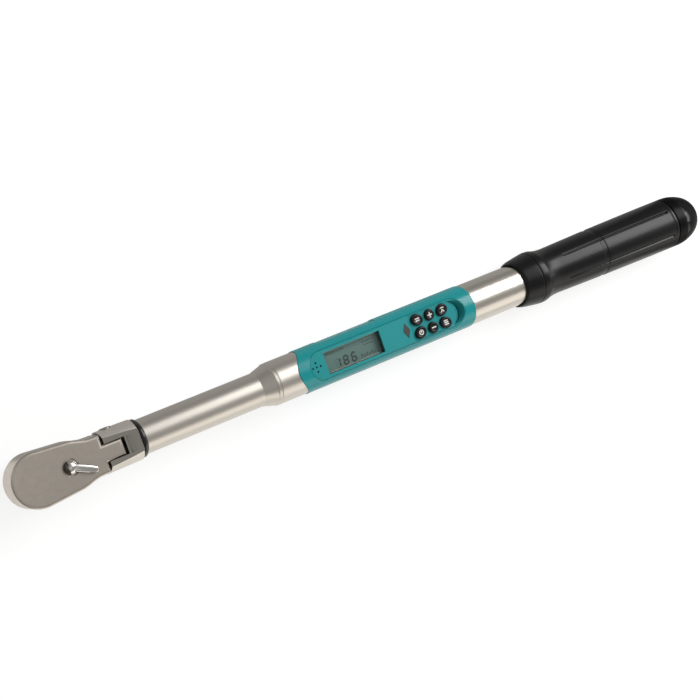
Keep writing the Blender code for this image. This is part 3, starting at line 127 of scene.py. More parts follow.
@dataclass(frozen=True)
class Finish:
    """A surface: what it is made of and how it was made.

    The tone drifts between two colours over patches, the roughness drifts with
    it, and a fine grain gives the relief. Sizes are real millimetres.
    """

    name: str
    colour: str
    tone: str
    roughness: float
    metallic: float = 0.0
    patch_mm: float = 25.0
    grain_mm: float = 0.5
    relief_mm: float = 0.01
    play: float = 0.05
    stretch: Point = (1.0, 1.0, 1.0)
    coat: float = 0.0
    coat_roughness: float = 0.05
    specular: float = 0.5
    alpha: float = 1.0

    def material(self) -> bpy.types.Material:
        """Builds the material once and returns it."""
        found = bpy.data.materials.get(self.name)
        if found is not None:
            return found
        made = bpy.data.materials.new(self.name)
        made.use_nodes = True
        tree = made.node_tree
        shader = tree.nodes["Principled BSDF"]
        place = add_node(tree, "ShaderNodeTexCoord").outputs["Object"]
        drift = self.drift(tree, place)
        tone = self.paint(tree, place, drift)
        tree.links.new(tone, shader.inputs["Base Color"])
        tree.links.new(self.gloss(tree, place, drift), shader.inputs["Roughness"])
        tree.links.new(self.relief(tree, place), shader.inputs["Normal"])
        shader.inputs["Metallic"].default_value = self.metallic
        shader.inputs["Coat Weight"].default_value = self.coat
        shader.inputs["Coat Roughness"].default_value = self.coat_roughness
        shader.inputs["Alpha"].default_value = self.alpha
        if self.metallic < 0.5:
            shader.inputs["Specular IOR Level"].default_value = self.specular
        return made

    def drift(self, tree: bpy.types.NodeTree, place: bpy.types.NodeSocket) -> bpy.types.NodeSocket:
        """Slow noise that the tone and the roughness follow.

        Args:
            tree: The material's node tree.
            place: Object coordinates in metres.

        Returns:
            A value between 0 and 1.
        """
        noise = add_node(tree, "ShaderNodeTexNoise",
                         {"Scale": 1.0 / (self.patch_mm * MM), "Detail": 4.0, "Roughness": 0.6},
                         {"Vector": place})
        return noise.outputs["Fac"]

    def paint(self, tree: bpy.types.NodeTree, place: bpy.types.NodeSocket,
              drift: bpy.types.NodeSocket) -> bpy.types.NodeSocket:
        """Colour of the surface.

        Args:
            tree: The material's node tree.
            place: Object coordinates in metres, not used by the plain tone.
            drift: The slow noise.

        Returns:
            The colour socket.
        """
        mix = add_node(tree, "ShaderNodeMix",
                       {"data_type": "RGBA", 6: linear(self.colour), 7: linear(self.tone)}, {0: drift})
        return mix.outputs[2]

    def gloss(self, tree: bpy.types.NodeTree, place: bpy.types.NodeSocket,
              drift: bpy.types.NodeSocket) -> bpy.types.NodeSocket:
        """Roughness of the surface.

        Args:
            tree: The material's node tree.
            place: Object coordinates in metres, not used by the plain roughness.
            drift: The slow noise.

        Returns:
            The roughness socket.
        """
        rough = add_node(tree, "ShaderNodeMapRange",
                         {"To Min": self.roughness - self.play, "To Max": self.roughness + self.play},
                         {"Value": drift})
        return rough.outputs["Result"]

    def relief(self, tree: bpy.types.NodeTree, place: bpy.types.NodeSocket) -> bpy.types.NodeSocket:
        """Normal of the fine grain.

        Args:
            tree: The material's node tree.
            place: Object coordinates in metres.

        Returns:
            The normal socket.
        """
        spread = add_node(tree, "ShaderNodeVectorMath", {"operation": "MULTIPLY", 1: self.stretch},
                          {0: place})
        grain = add_node(tree, "ShaderNodeTexNoise",
                         {"Scale": 1.0 / (self.grain_mm * MM), "Detail": 2.0, "Roughness": 0.5},
                         {"Vector": spread.outputs[0]})
        bump = add_node(tree, "ShaderNodeBump", {"Strength": 1.0, "Distance": self.relief_mm * MM},
                        {"Height": grain.outputs["Fac"]})
        return bump.outputs["Normal"]


@dataclass(frozen=True)
class BandedFinish(Finish):
    """A finish crossed by even bands along X, such as a foil grid or a cell's sleeve."""

    band: str = "#000000"
    pitch_mm: float = 1.0
    share: float = 0.5
    start_mm: float = 0.0

    def paint(self, tree: bpy.types.NodeTree, place: bpy.types.NodeSocket,
              drift: bpy.types.NodeSocket) -> bpy.types.NodeSocket:
        """Base tone with the bands over it."""
        base = super().paint(tree, place, drift)
        parts = add_node(tree, "ShaderNodeSeparateXYZ", None, {0: place})
        shifted = add_node(tree, "ShaderNodeMath", {"operation": "SUBTRACT", 1: self.start_mm * MM},
                           {0: parts.outputs[0]})
        turns = add_node(tree, "ShaderNodeMath", {"operation": "DIVIDE", 1: self.pitch_mm * MM},
                         {0: shifted.outputs[0]})
        whole = add_node(tree, "ShaderNodeMath", {"operation": "FRACT"}, {0: turns.outputs[0]})
        inside = add_node(tree, "ShaderNodeMath", {"operation": "LESS_THAN", 1: self.share},
                          {0: whole.outputs[0]})
        mix = add_node(tree, "ShaderNodeMix", {"data_type": "RGBA", 7: linear(self.band)},
                       {0: inside.outputs[0], 6: base})
        return mix.outputs[2]


@dataclass(frozen=True)
class GradedFinish(Finish):
    """A finish that turns smoother along X, as where a blasted end meets a polished one."""

    far_roughness: float = 0.2
    start_mm: float = 0.0
    end_mm: float = 100.0

    def gloss(self, tree: bpy.types.NodeTree, place: bpy.types.NodeSocket,
              drift: bpy.types.NodeSocket) -> bpy.types.NodeSocket:
        """Roughness that changes from the near end to the far one."""
        near = super().gloss(tree, place, drift)
        parts = add_node(tree, "ShaderNodeSeparateXYZ", None, {0: place})
        ease = add_node(tree, "ShaderNodeMapRange",
                        {"interpolation_type": "SMOOTHSTEP", "From Min": self.start_mm * MM,
                         "From Max": self.end_mm * MM, "To Min": 0.0,
                         "To Max": self.roughness - self.far_roughness}, {"Value": parts.outputs[0]})
        left = add_node(tree, "ShaderNodeMath", {"operation": "SUBTRACT"},
                        {0: near, 1: ease.outputs["Result"]})
        return left.outputs[0]


# Satin nickel over polished steel tube: long even highlights with a faint warm cast.
SATIN_NICKEL = GradedFinish("satin_nickel_plated_tube", "#d4cfc7", "#ccc6bd", 0.35, 1.0, patch_mm=60.0,
                            grain_mm=1.5, relief_mm=0.0010, play=0.02, far_roughness=0.29,
                            start_mm=180.0, end_mm=430.0)
# Same plating over a bead-blasted forging: duller and finely mottled.
BLASTED_NICKEL = Finish("bead_blasted_nickel_forging", "#d3cac0", "#b1a99f", 0.34, 1.0, patch_mm=5.0,
                        grain_mm=0.8, relief_mm=0.012, play=0.06)
# Milled flats under the plating: darker, with faint cutter lines along the tool.
MILLED_NICKEL = Finish("milled_nickel_fork", "#c6c1b9", "#b8b3ab", 0.21, 1.0, patch_mm=10.0,
                       grain_mm=0.8, relief_mm=0.004, play=0.04, stretch=(0.12, 1.0, 1.0))
# Plating over the turned outside of the fork: paler and softer than the tube's.
FORK_NICKEL = Finish("brushed_nickel_fork_round", "#e6e1d9", "#d6d1c9", 0.50, 1.0, patch_mm=8.0,
                     grain_mm=0.8, relief_mm=0.006, play=0.05)
# Steel faces inside the narrow slot between the head and the fork, painted nearly black as the shade that
# falls there.
SLOT_SHADE_STEEL = Finish("slot_painted_shade_steel", "#3a3632", "#2e2b28", 0.55, 1.0, patch_mm=6.0, grain_mm=0.6,
                     relief_mm=0.006, play=0.05)
# Polished chrome lever: mirror-like, with the faintest wipe marks.
POLISHED_CHROME = Finish("polished_chrome_lever", "#e4e2de", "#d8d5d0", 0.18, 1.0, patch_mm=6.0,
                         grain_mm=2.0, relief_mm=0.0008, play=0.02)
# Flanks of the lever, painted darker as a reflection of the dim room: a dark outline around the bright top.
CHROME_FLANK_REFLECTION = Finish("lever_flank_painted_reflection", "#6e6860", "#59544d", 0.24, 1.0, patch_mm=6.0,
                      grain_mm=2.0, relief_mm=0.0008, play=0.02)
# Turned and hardened alloy steel of the drive: grey with fine turning marks.
TURNED_STEEL = Finish("turned_alloy_steel", "#adaba8", "#989691", 0.30, 1.0, patch_mm=8.0,
                      grain_mm=0.4, relief_mm=0.004, play=0.06, stretch=(1.0, 1.0, 0.1))
# Drawn spring wire: smooth, slightly blued.
SPRING_WIRE = Finish("drawn_spring_wire", "#8d8d90", "#76777c", 0.26, 1.0, patch_mm=3.0,
                     grain_mm=0.3, relief_mm=0.002)
# Moulded nitrile ring: glossy black with a mould line's softness.
NITRILE = Finish("moulded_nitrile_ring", "#0b0b0b", "#101010", 0.20, patch_mm=5.0, grain_mm=1.2,
                 relief_mm=0.003, coat=0.4, coat_roughness=0.10)
# Injection-moulded ABS, teal: satin, with the tool's spark texture.
TEAL_ABS = Finish("moulded_teal_abs", "#14979b", "#118f93", 0.25, patch_mm=40.0, grain_mm=0.5,
                  relief_mm=0.003, play=0.03, specular=0.45)
# The inset panel's ABS: a touch lighter and more matt.
PANEL_ABS = Finish("moulded_teal_panel_abs", "#1e979a", "#1a9093", 0.42, patch_mm=20.0, grain_mm=0.4,
                   relief_mm=0.004, play=0.03, specular=0.30)
# Same plastic on the pocket's end wall with a coarser grain, painted darker as the shade that falls in the
# pocket's end.
POCKET_WALL_SHADE = Finish("teal_pocket_wall_painted_shade", "#0e787b", "#0b6c6f", 0.60, patch_mm=4.0, grain_mm=0.6,
                  relief_mm=0.02, play=0.03, specular=0.15)
# Keypad mat under the keys: printed film, smoother than the panel.
MAT_FILM = Finish("printed_keypad_film", "#1b9498", "#178c90", 0.36, patch_mm=14.0, grain_mm=0.5,
                  relief_mm=0.002, play=0.03, specular=0.30)
# Silicone key with a hard glossy lacquer: nearly black, soft highlight.
KEY_RUBBER = Finish("lacquered_silicone_key", "#0e0b0c", "#141011", 0.30, patch_mm=4.0, grain_mm=0.5,
                    relief_mm=0.002, specular=0.28)
# Screen-printed legend ink: off-white, slightly chalky.
LEGEND_INK = Finish("screen_printed_white_ink", "#e9e9e6", "#dededb", 0.50, patch_mm=1.5, grain_mm=0.4,
                    relief_mm=0.002)
# Reflective liquid crystal behind its polariser: grey-green, slightly clouded.
LCD_FIELD = Finish("reflective_lcd_polariser", "#6c8d86", "#5c7c77", 0.32, patch_mm=7.0, grain_mm=0.8,
                   relief_mm=0.001, play=0.03, specular=0.35)
# Switched liquid-crystal segments: dark green-grey, not black.
LCD_SEGMENT = Finish("liquid_crystal_segment", "#15201d", "#1c2824", 0.34, patch_mm=3.0, grain_mm=0.6,
                     relief_mm=0.001, specular=0.3)
# Faint image of the segments that are off.
LCD_GHOST = Finish("unlit_crystal_segment", "#627f79", "#59766f", 0.34, patch_mm=3.0, grain_mm=0.6,
                   relief_mm=0.001, specular=0.3)
# Fine print of the display: thinner strokes, so they read as grey.
LCD_PRINT = Finish("liquid_crystal_fine_print", "#3d524c", "#465b55", 0.34, patch_mm=3.0, grain_mm=0.6,
                   relief_mm=0.001, specular=0.3)
# Bright anodised frame around the crystal.
BRIGHT_FRAME = Finish("bright_anodised_frame", "#d6d5d1", "#c8c7c3", 0.24, 1.0, patch_mm=9.0,
                      grain_mm=0.6, relief_mm=0.002, stretch=(0.15, 1.0, 1.0))
# Clear acrylic window: only its gloss shows.
CLEAR_ACRYLIC = Finish("clear_acrylic_window", "#8fa19c", "#8b9d98", 0.06, patch_mm=20.0, grain_mm=4.0,
                       relief_mm=0.0005, play=0.02, alpha=0.10)
# Smoked acrylic of the indicator lamp: brown-grey with a deep gloss.
SMOKED_ACRYLIC = Finish("smoked_acrylic_lamp_window", "#454a49", "#505251", 0.14, patch_mm=4.0,
                        grain_mm=1.5, relief_mm=0.002, coat=0.6, coat_roughness=0.05)
# Moulded black ABS inside: matt.
BLACK_ABS = Finish("moulded_black_abs", "#1c1c1d", "#232324", 0.52, patch_mm=12.0, grain_mm=0.4,
                   relief_mm=0.008)
# Thermoplastic grip: black satin skin whose fine grain softens the long highlights.
GRIP_RUBBER = Finish("moulded_thermoplastic_grip", "#0a0a0c", "#0f0f11", 0.31, patch_mm=30.0,
                     grain_mm=0.9, relief_mm=0.008, play=0.03, specular=0.27)
# The cap's harder plastic: black with a satin rim.
CAP_ABS = Finish("moulded_cap_abs", "#070708", "#0a0a0b", 0.33, patch_mm=22.0, grain_mm=1.2,
                 relief_mm=0.004, play=0.02, specular=0.08)
# The cap's polished dome: deep black with small sharp reflections.
DOME_ABS = Finish("polished_cap_dome_abs", "#030303", "#050505", 0.17, patch_mm=22.0, grain_mm=1.2,
                  relief_mm=0.001, play=0.02, specular=0.30)
# Solder mask over copper: green, with the tracks showing as paler bands.
SOLDER_MASK = BandedFinish("solder_mask_board", "#1f6b3c", "#1a5c34", 0.38, patch_mm=6.0, grain_mm=0.6,
                           relief_mm=0.01, band="#2a7d49", pitch_mm=2.4, share=0.3)
# Etched foil on its backing film: copper-gold lines on amber.
GAUGE_FOIL = BandedFinish("etched_gauge_foil", "#b5813d", "#a87433", 0.42, patch_mm=3.0, grain_mm=0.5,
                          relief_mm=0.004, band="#d8b26a", pitch_mm=0.6, share=0.5)
# Shrink sleeve of a dry cell: dark blue film with a bare steel band.
CELL_SLEEVE = BandedFinish("shrink_sleeved_cell", "#2c3550", "#252d45", 0.30, patch_mm=10.0, grain_mm=0.6,
                           relief_mm=0.003, band="#b9b7b0", pitch_mm=50.8, share=0.12, start_mm=433.0)
# Pressed brass of the contact plate: yellow and fairly bright.
CONTACT_BRASS = Finish("pressed_brass_contact", "#cda85c", "#bd974c", 0.26, 1.0, patch_mm=4.0,
                       grain_mm=0.4, relief_mm=0.003)
# Stamped and ground steel of the cover and the flex pin.
GROUND_STEEL = Finish("ground_steel_cover", "#b0aca6", "#9c9892", 0.33, 1.0, patch_mm=5.0, grain_mm=0.3,
                      relief_mm=0.004, stretch=(0.2, 1.0, 1.0))


def dress(item: bpy.types.Object, finish: Finish) -> bpy.types.Object:
    """Gives a piece its finish.

    Args:
        item: The piece.
        finish: What it is made of.

    Returns:
        The same piece.
    """
    item.data.materials.clear()
    item.data.materials.append(finish.material())
    return item


def link_mesh(name: str, build: bmesh.types.BMesh) -> bpy.types.Object:
    """Puts a finished bmesh in the scene, faces outwards.

    Args:
        name: Name of the piece.
        build: The geometry, which is freed.

    Returns:
        The new object.
    """
    bmesh.ops.recalc_face_normals(build, faces=build.faces)
    mesh = bpy.data.meshes.new(name)
    build.to_mesh(mesh)
    build.free()
    item = bpy.data.objects.new(name, mesh)
    bpy.context.scene.collection.objects.link(item)
    return item


def loft(name: str, rings: Sequence[Iterable[Point]], closed: bool = False) -> bpy.types.Object:
    """Solid through rings of equally many points.

    Args:
        name: Name of the piece.
        rings: The rings in order, in millimetres.
        closed: Whether the last ring joins the first, as round a sleeve.

    Returns:
        The new object.
    """
    build = bmesh.new()
    rows = [[build.verts.new(Vector(point) * MM) for point in ring] for ring in rings]
    pairs = list(zip(rows[:-1], rows[1:]))
    if closed:
        pairs.append((rows[-1], rows[0]))
    count = len(rows[0])
    for low, high in pairs:
        for index in range(count):
            after = (index + 1) % count
            build.faces.new((low[index], low[after], high[after], high[index]))
    if not closed:
        build.faces.new(list(reversed(rows[0])))
        build.faces.new(rows[-1])
    return link_mesh(name, build)


def turned(name: str, profile: Sequence[Flat], steps: int = ROUND, axis: Axis = Axis.ALONG,
           centre: Point = (0.0, 0.0, 0.0)) -> bpy.types.Object:
    """Turned piece from a closed or axis-to-axis profile.

    Args:
        name: Name of the piece.
        profile: (station, radius) pairs in millimetres.
        steps: Facets around.
        axis: Direction of the turning axis.
        centre: Point on the axis that stations are measured from.

    Returns:
        The new object.
    """
    build = bmesh.new()
    rows = []
    for station, radius in profile:
        if radius <= 0.0:
            rows.append([build.verts.new(spin(station, 0.0, 0.0, axis, centre))])
        else:
            rows.append([build.verts.new(spin(station, radius, TAU * index / steps, axis, centre))
                         for index in range(steps)])
    pairs = list(zip(rows[:-1], rows[1:]))
    if profile[0][1] > 0.0 and profile[-1][1] > 0.0:
        pairs.append((rows[-1], rows[0]))
    for low, high in pairs:
        for index in range(steps):
            after = (index + 1) % steps
            corners = [low[index % len(low)], low[after % len(low)],
                       high[after % len(high)], high[index % len(high)]]
            unique = list(dict.fromkeys(corners))
            if len(unique) > 2:
                build.faces.new(unique)
    return link_mesh(name, build)


def spin(station: float, radius: float, angle: float, axis: Axis, centre: Point) -> Vector:
    """Point of a turned surface.

    Args:
        station: Distance along the axis in millimetres.
        radius: Distance from it.
        angle: Angle around it.
        axis: The axis.
        centre: Point that stations are measured from.

    Returns:
        The point in metres.
    """
    u, v = radius * math.cos(angle), radius * math.sin(angle)
    local = {Axis.ALONG: (station, u, v), Axis.ACROSS: (v, station, u), Axis.UP: (u, v, station)}[axis]
    return (Vector(local) + Vector(centre)) * MM


def plug(name: str, low: float, high: float, radius: float, steps: int = SMALL, axis: Axis = Axis.UP,
         centre: Point = (0.0, 0.0, 0.0)) -> bpy.types.Object:
    """Plain round rod, used to cut a bore.

    Args:
        name: Name of the piece.
        low: Station where it starts.
        high: Station where it ends.
        radius: Its radius.
        steps: Facets around.
        axis: Direction of its axis.
        centre: Point on the axis that stations are measured from.

    Returns:
        The new object.
    """
    return turned(name, [(low, 0.0), (low, radius), (high, radius), (high, 0.0)], steps, axis, centre)


def slab(name: str, outline: Sequence[Flat], low: float, high: float,
         axis: Axis = Axis.UP) -> bpy.types.Object:
    """Prism over an outline.

    Args:
        name: Name of the piece.
        outline: Points of the outline, XY for UP and XZ for ACROSS.
        low: Level where it starts.
        high: Level where it ends.
        axis: Direction of the levels.

    Returns:
        The new object.
    """
    rings = []
    for level in (low, high):
        if axis is Axis.UP:
            rings.append([(x, y, level) for x, y in outline])
        else:
            rings.append([(x, level, z) for x, z in outline])
    return loft(name, rings)


def block(name: str, low: Point, high: Point) -> bpy.types.Object:
    """Box between two corners, as a prism.

    Args:
        name: Name of the piece.
        low: Lowest corner.
        high: Highest corner.

    Returns:
        The new object.
    """
    outline = [(low[0], low[1]), (high[0], low[1]), (high[0], high[1]), (low[0], high[1])]
    return slab(name, outline, low[2], high[2])


def settle(item: bpy.types.Object) -> bpy.types.Object:
    """Applies the modifiers of a piece.

    Args:
        item: The piece.

    Returns:
        The same piece.
    """
    bpy.context.view_layer.update()
    view = bpy.context.evaluated_depsgraph_get()
    mesh = bpy.data.meshes.new_from_object(item.evaluated_get(view))
    item.modifiers.clear()
    item.data = mesh
    return item


def combine(item: bpy.types.Object, others: Iterable[bpy.types.Object],
            operation: Operation) -> bpy.types.Object:
    """Booleans a piece with others, which are used up.

    Args:
        item: The piece that stays.
        others: The solids that go.
        operation: What is done with them.

    Returns:
        The same piece.
    """
    for other in others:
        boolean = item.modifiers.new("boolean", "BOOLEAN")
        boolean.operation = operation.value
        boolean.object = other
        settle(item)
        bpy.data.objects.remove(other, do_unlink=True)
    build = bmesh.new()
    build.from_mesh(item.data)
    bmesh.ops.remove_doubles(build, verts=build.verts, dist=2e-6)
    bmesh.ops.dissolve_degenerate(build, edges=build.edges, dist=1e-6)
    build.to_mesh(item.data)
    build.free()
    return item


def soften(item: bpy.types.Object, width: float, angle: float = 40.0, segments: int = 2) -> bpy.types.Object:
    """Rounds the sharp edges of a piece.

    Args:
        item: The piece.
        width: Width of the rounding in millimetres.
        angle: Edges sharper than this many degrees are rounded.
        segments: Facets across the rounding.

    Returns:
        The same piece.
    """
    bevel = item.modifiers.new("edges", "BEVEL")
    bevel.width = width * MM
    bevel.segments = segments
    bevel.limit_method = "ANGLE"
    bevel.angle_limit = math.radians(angle)
    bevel.miter_outer = "MITER_ARC"
    return settle(item)


def smooth(item: bpy.types.Object, angle: float = 32.0) -> bpy.types.Object:
    """Shades a piece smooth, with its sharp edges kept.

    Args:
        item: The piece.
        angle: Edges sharper than this many degrees stay sharp.

    Returns:
        The same piece.
    """
    item.data.shade_smooth()
    item.data.set_sharp_from_angle(angle=math.radians(angle))
    weigh = item.modifiers.new("flat_faces", "WEIGHTED_NORMAL")
    weigh.keep_sharp = True
    weigh.weight = 80
    return settle(item)


def install(item: bpy.types.Object, body: str, finish: Finish,
            nodes: Sequence[str] = (), angle: float = 32.0) -> bpy.types.Object:
    """Lifts a piece from the tool's axis to its level, dresses it and hangs it on its body.

    Args:
        item: The piece, built about the tool's axis.
        body: The CAD body that carries it.
        finish: What it is made of.
        nodes: CAD nodes that it stands for.
        angle: Edges sharper than this many degrees stay sharp.

    Returns:
        The same piece.
    """
    item.data.transform(Matrix.Translation((0.0, 0.0, AXIS_Z * MM)))
    smooth(item, angle)
    dress(item, finish)
    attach(item, body)
    if nodes:
        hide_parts(*nodes)
    log.info("%s: %d faces on %s", item.name, len(item.data.polygons), body)
    return item


def accent(item: bpy.types.Object, finish: Finish, chosen: Callable[[Vector, Vector], bool]) -> None:
    """Gives some faces of an installed piece a second finish.

    Args:
        item: The piece.
        finish: The second finish.
        chosen: Tells from a face's middle, in millimetres from the tool's axis, and its normal
            whether it takes that finish.
    """
    item.data.materials.append(finish.material())
    index = len(item.data.materials) - 1
    for face in item.data.polygons:
        middle = face.center / MM - Vector((0.0, 0.0, AXIS_Z))
        if chosen(middle, face.normal):
            face.material_index = index


def arc(radius: float, start: float, end: float, steps: int, x: float = 0.0, y: float = 0.0) -> list[Flat]:
    """Points along an arc, with both its ends.

    Args:
        radius: Its radius.
        start: Angle where it starts.
        end: Angle where it ends.
        steps: Number of points less one.
        x: Centre along the tool.
        y: Centre across it.

    Returns:
        The points from start to end.
    """
    points = []
    for k in range(steps + 1):
        angle = start + (end - start) * k / steps
        points.append((x + radius * math.cos(angle), y + radius * math.sin(angle)))
    return points


def circle(radius: float, count: int, x: float = 0.0, y: float = 0.0) -> list[Flat]:
    """Points around a circle.

    Args:
        radius: Its radius.
        count: How many points.
        x: Centre along the tool.
        y: Centre across it.

    Returns:
        The points, anticlockwise.
    """
    return arc(radius, 0.0, TAU, count, x, y)[:-1]


def straight(first: Flat, last: Flat, steps: int) -> list[Flat]:
    """Points along a line, without its first end.

    Args:
        first: Where it starts.
        last: Where it ends.
        steps: Number of points.

    Returns:
        The points.
    """
    return [(first[0] + (last[0] - first[0]) * k / steps, first[1] + (last[1] - first[1]) * k / steps)
            for k in range(1, steps + 1)]


def oval(long: float, short: float, count: int, x: float, y: float, lean: float) -> list[Flat]:
    """Points around an ellipse that leans.

    Args:
        long: Half its length.
        short: Half its width.
        count: How many points.
        x: Centre along the tool.
        y: Centre across it.
        lean: Angle of the long axis.

    Returns:
        The points, anticlockwise.
    """
    points = []
    for k in range(count):
        u, v = long * math.cos(TAU * k / count), short * math.sin(TAU * k / count)
        points.append((x + u * math.cos(lean) - v * math.sin(lean),
                       y + u * math.sin(lean) + v * math.cos(lean)))
    return points


def stadium(x0: float, x1: float, half: float, count: int = 40) -> list[Flat]:
    """Slot outline with round ends.

    Args:
        x0: Left end.
        x1: Right end.
        half: Half its width.
        count: Steps around each end.

    Returns:
        The points, anticlockwise from the lower right.
    """
    quarter = 0.5 * math.pi
    right = arc(half, -quarter, quarter, count, x1 - half)
    return right + arc(half, quarter, 3.0 * quarter, count, x0 + half)


def inset(outline: Sequence[Flat], depth: float) -> list[Flat]:
    """Outline moved inwards along its normals.

    Args:
        outline: Points, anticlockwise.
        depth: How far inwards, in millimetres.

    Returns:
        The moved points.
    """
    moved = []
    for k, (x, y) in enumerate(outline):
        before, after = outline[k - 1], outline[(k + 1) % len(outline)]
        first = Vector((x - before[0], y - before[1])).normalized()
        second = Vector((after[0] - x, after[1] - y)).normalized()
        reach = depth / max(1.0 + first.dot(second), 0.5)
        moved.append((x - reach * (first.y + second.y), y + reach * (first.x + second.x)))
    return moved


def rounding(radius: float, start: Flat, end: Flat, corner: Flat, steps: int = 5) -> list[Flat]:
    """Points that round a corner of a profile.

    Args:
        radius: Distance kept from the corner on both sides.
        start: Profile point before the corner.
        end: Profile point after it.
        corner: The corner.
        steps: Number of points less one.

    Returns:
        The points from the first side to the second.
    """
    origin = Vector(corner)
    first = origin + (Vector(start) - origin).normalized() * radius
    last = origin + (Vector(end) - origin).normalized() * radius
    points = []
    for k in range(steps + 1):
        share = k / steps
        point = first * (1 - share) ** 2 + origin * 2 * share * (1 - share) + last * share ** 2
        points.append((point.x, point.y))
    return points


def rounded_profile(corners: Sequence[tuple[float, float, float]]) -> list[Flat]:
    """Profile whose corners are rounded by their own radii.

    Args:
        corners: (station, radius from the axis, rounding) of each corner.

    Returns:
        The profile's points.
    """
    points: list[Flat] = []
    last = len(corners) - 1
    for k, (station, radius, corner) in enumerate(corners):
        if corner <= 0.0 or k in (0, last):
            points.append((station, radius))
            continue
        before, after = corners[k - 1][:2], corners[k + 1][:2]
        points += rounding(corner, before, after, (station, radius))
    return points


def coil(name: str, start: Point, direction: Point, length: float, radii: Flat, wire: float,
         turns: float) -> bpy.types.Object:
    """Tapered spring as a round wire along a helix.

    Args:
        name: Name of the piece.
        start: Where its axis starts.
        direction: Where its axis runs.
        length: Its length.
        radii: Radii of the helix where it starts and where it ends.
        wire: Radius of the wire.
        turns: Number of turns.

    Returns:
        The new object.
    """
    radius, tip = radii
    turn = Vector((0.0, 0.0, 1.0)).rotation_difference(Vector(direction))
    steps = int(turns * 28)
    path = []
    for k in range(steps + 1):
        share = k / steps
        angle, reach = TAU * turns * share, radius + (tip - radius) * share
        local = Vector((reach * math.cos(angle), reach * math.sin(angle), length * share))
        path.append(Vector(start) + turn @ local)
    rings = []
    side = turn @ Vector((0.0, 0.0, 1.0))
    for k, point in enumerate(path):
        run = (path[min(k + 1, steps)] - path[max(k - 1, 0)]).normalized()
        across = run.cross(side).normalized()
        up = across.cross(run)
        rings.append([tuple(point + (across * math.cos(TAU * i / 12) + up * math.sin(TAU * i / 12)) * wire)
                      for i in range(12)])
    return loft(name, rings)


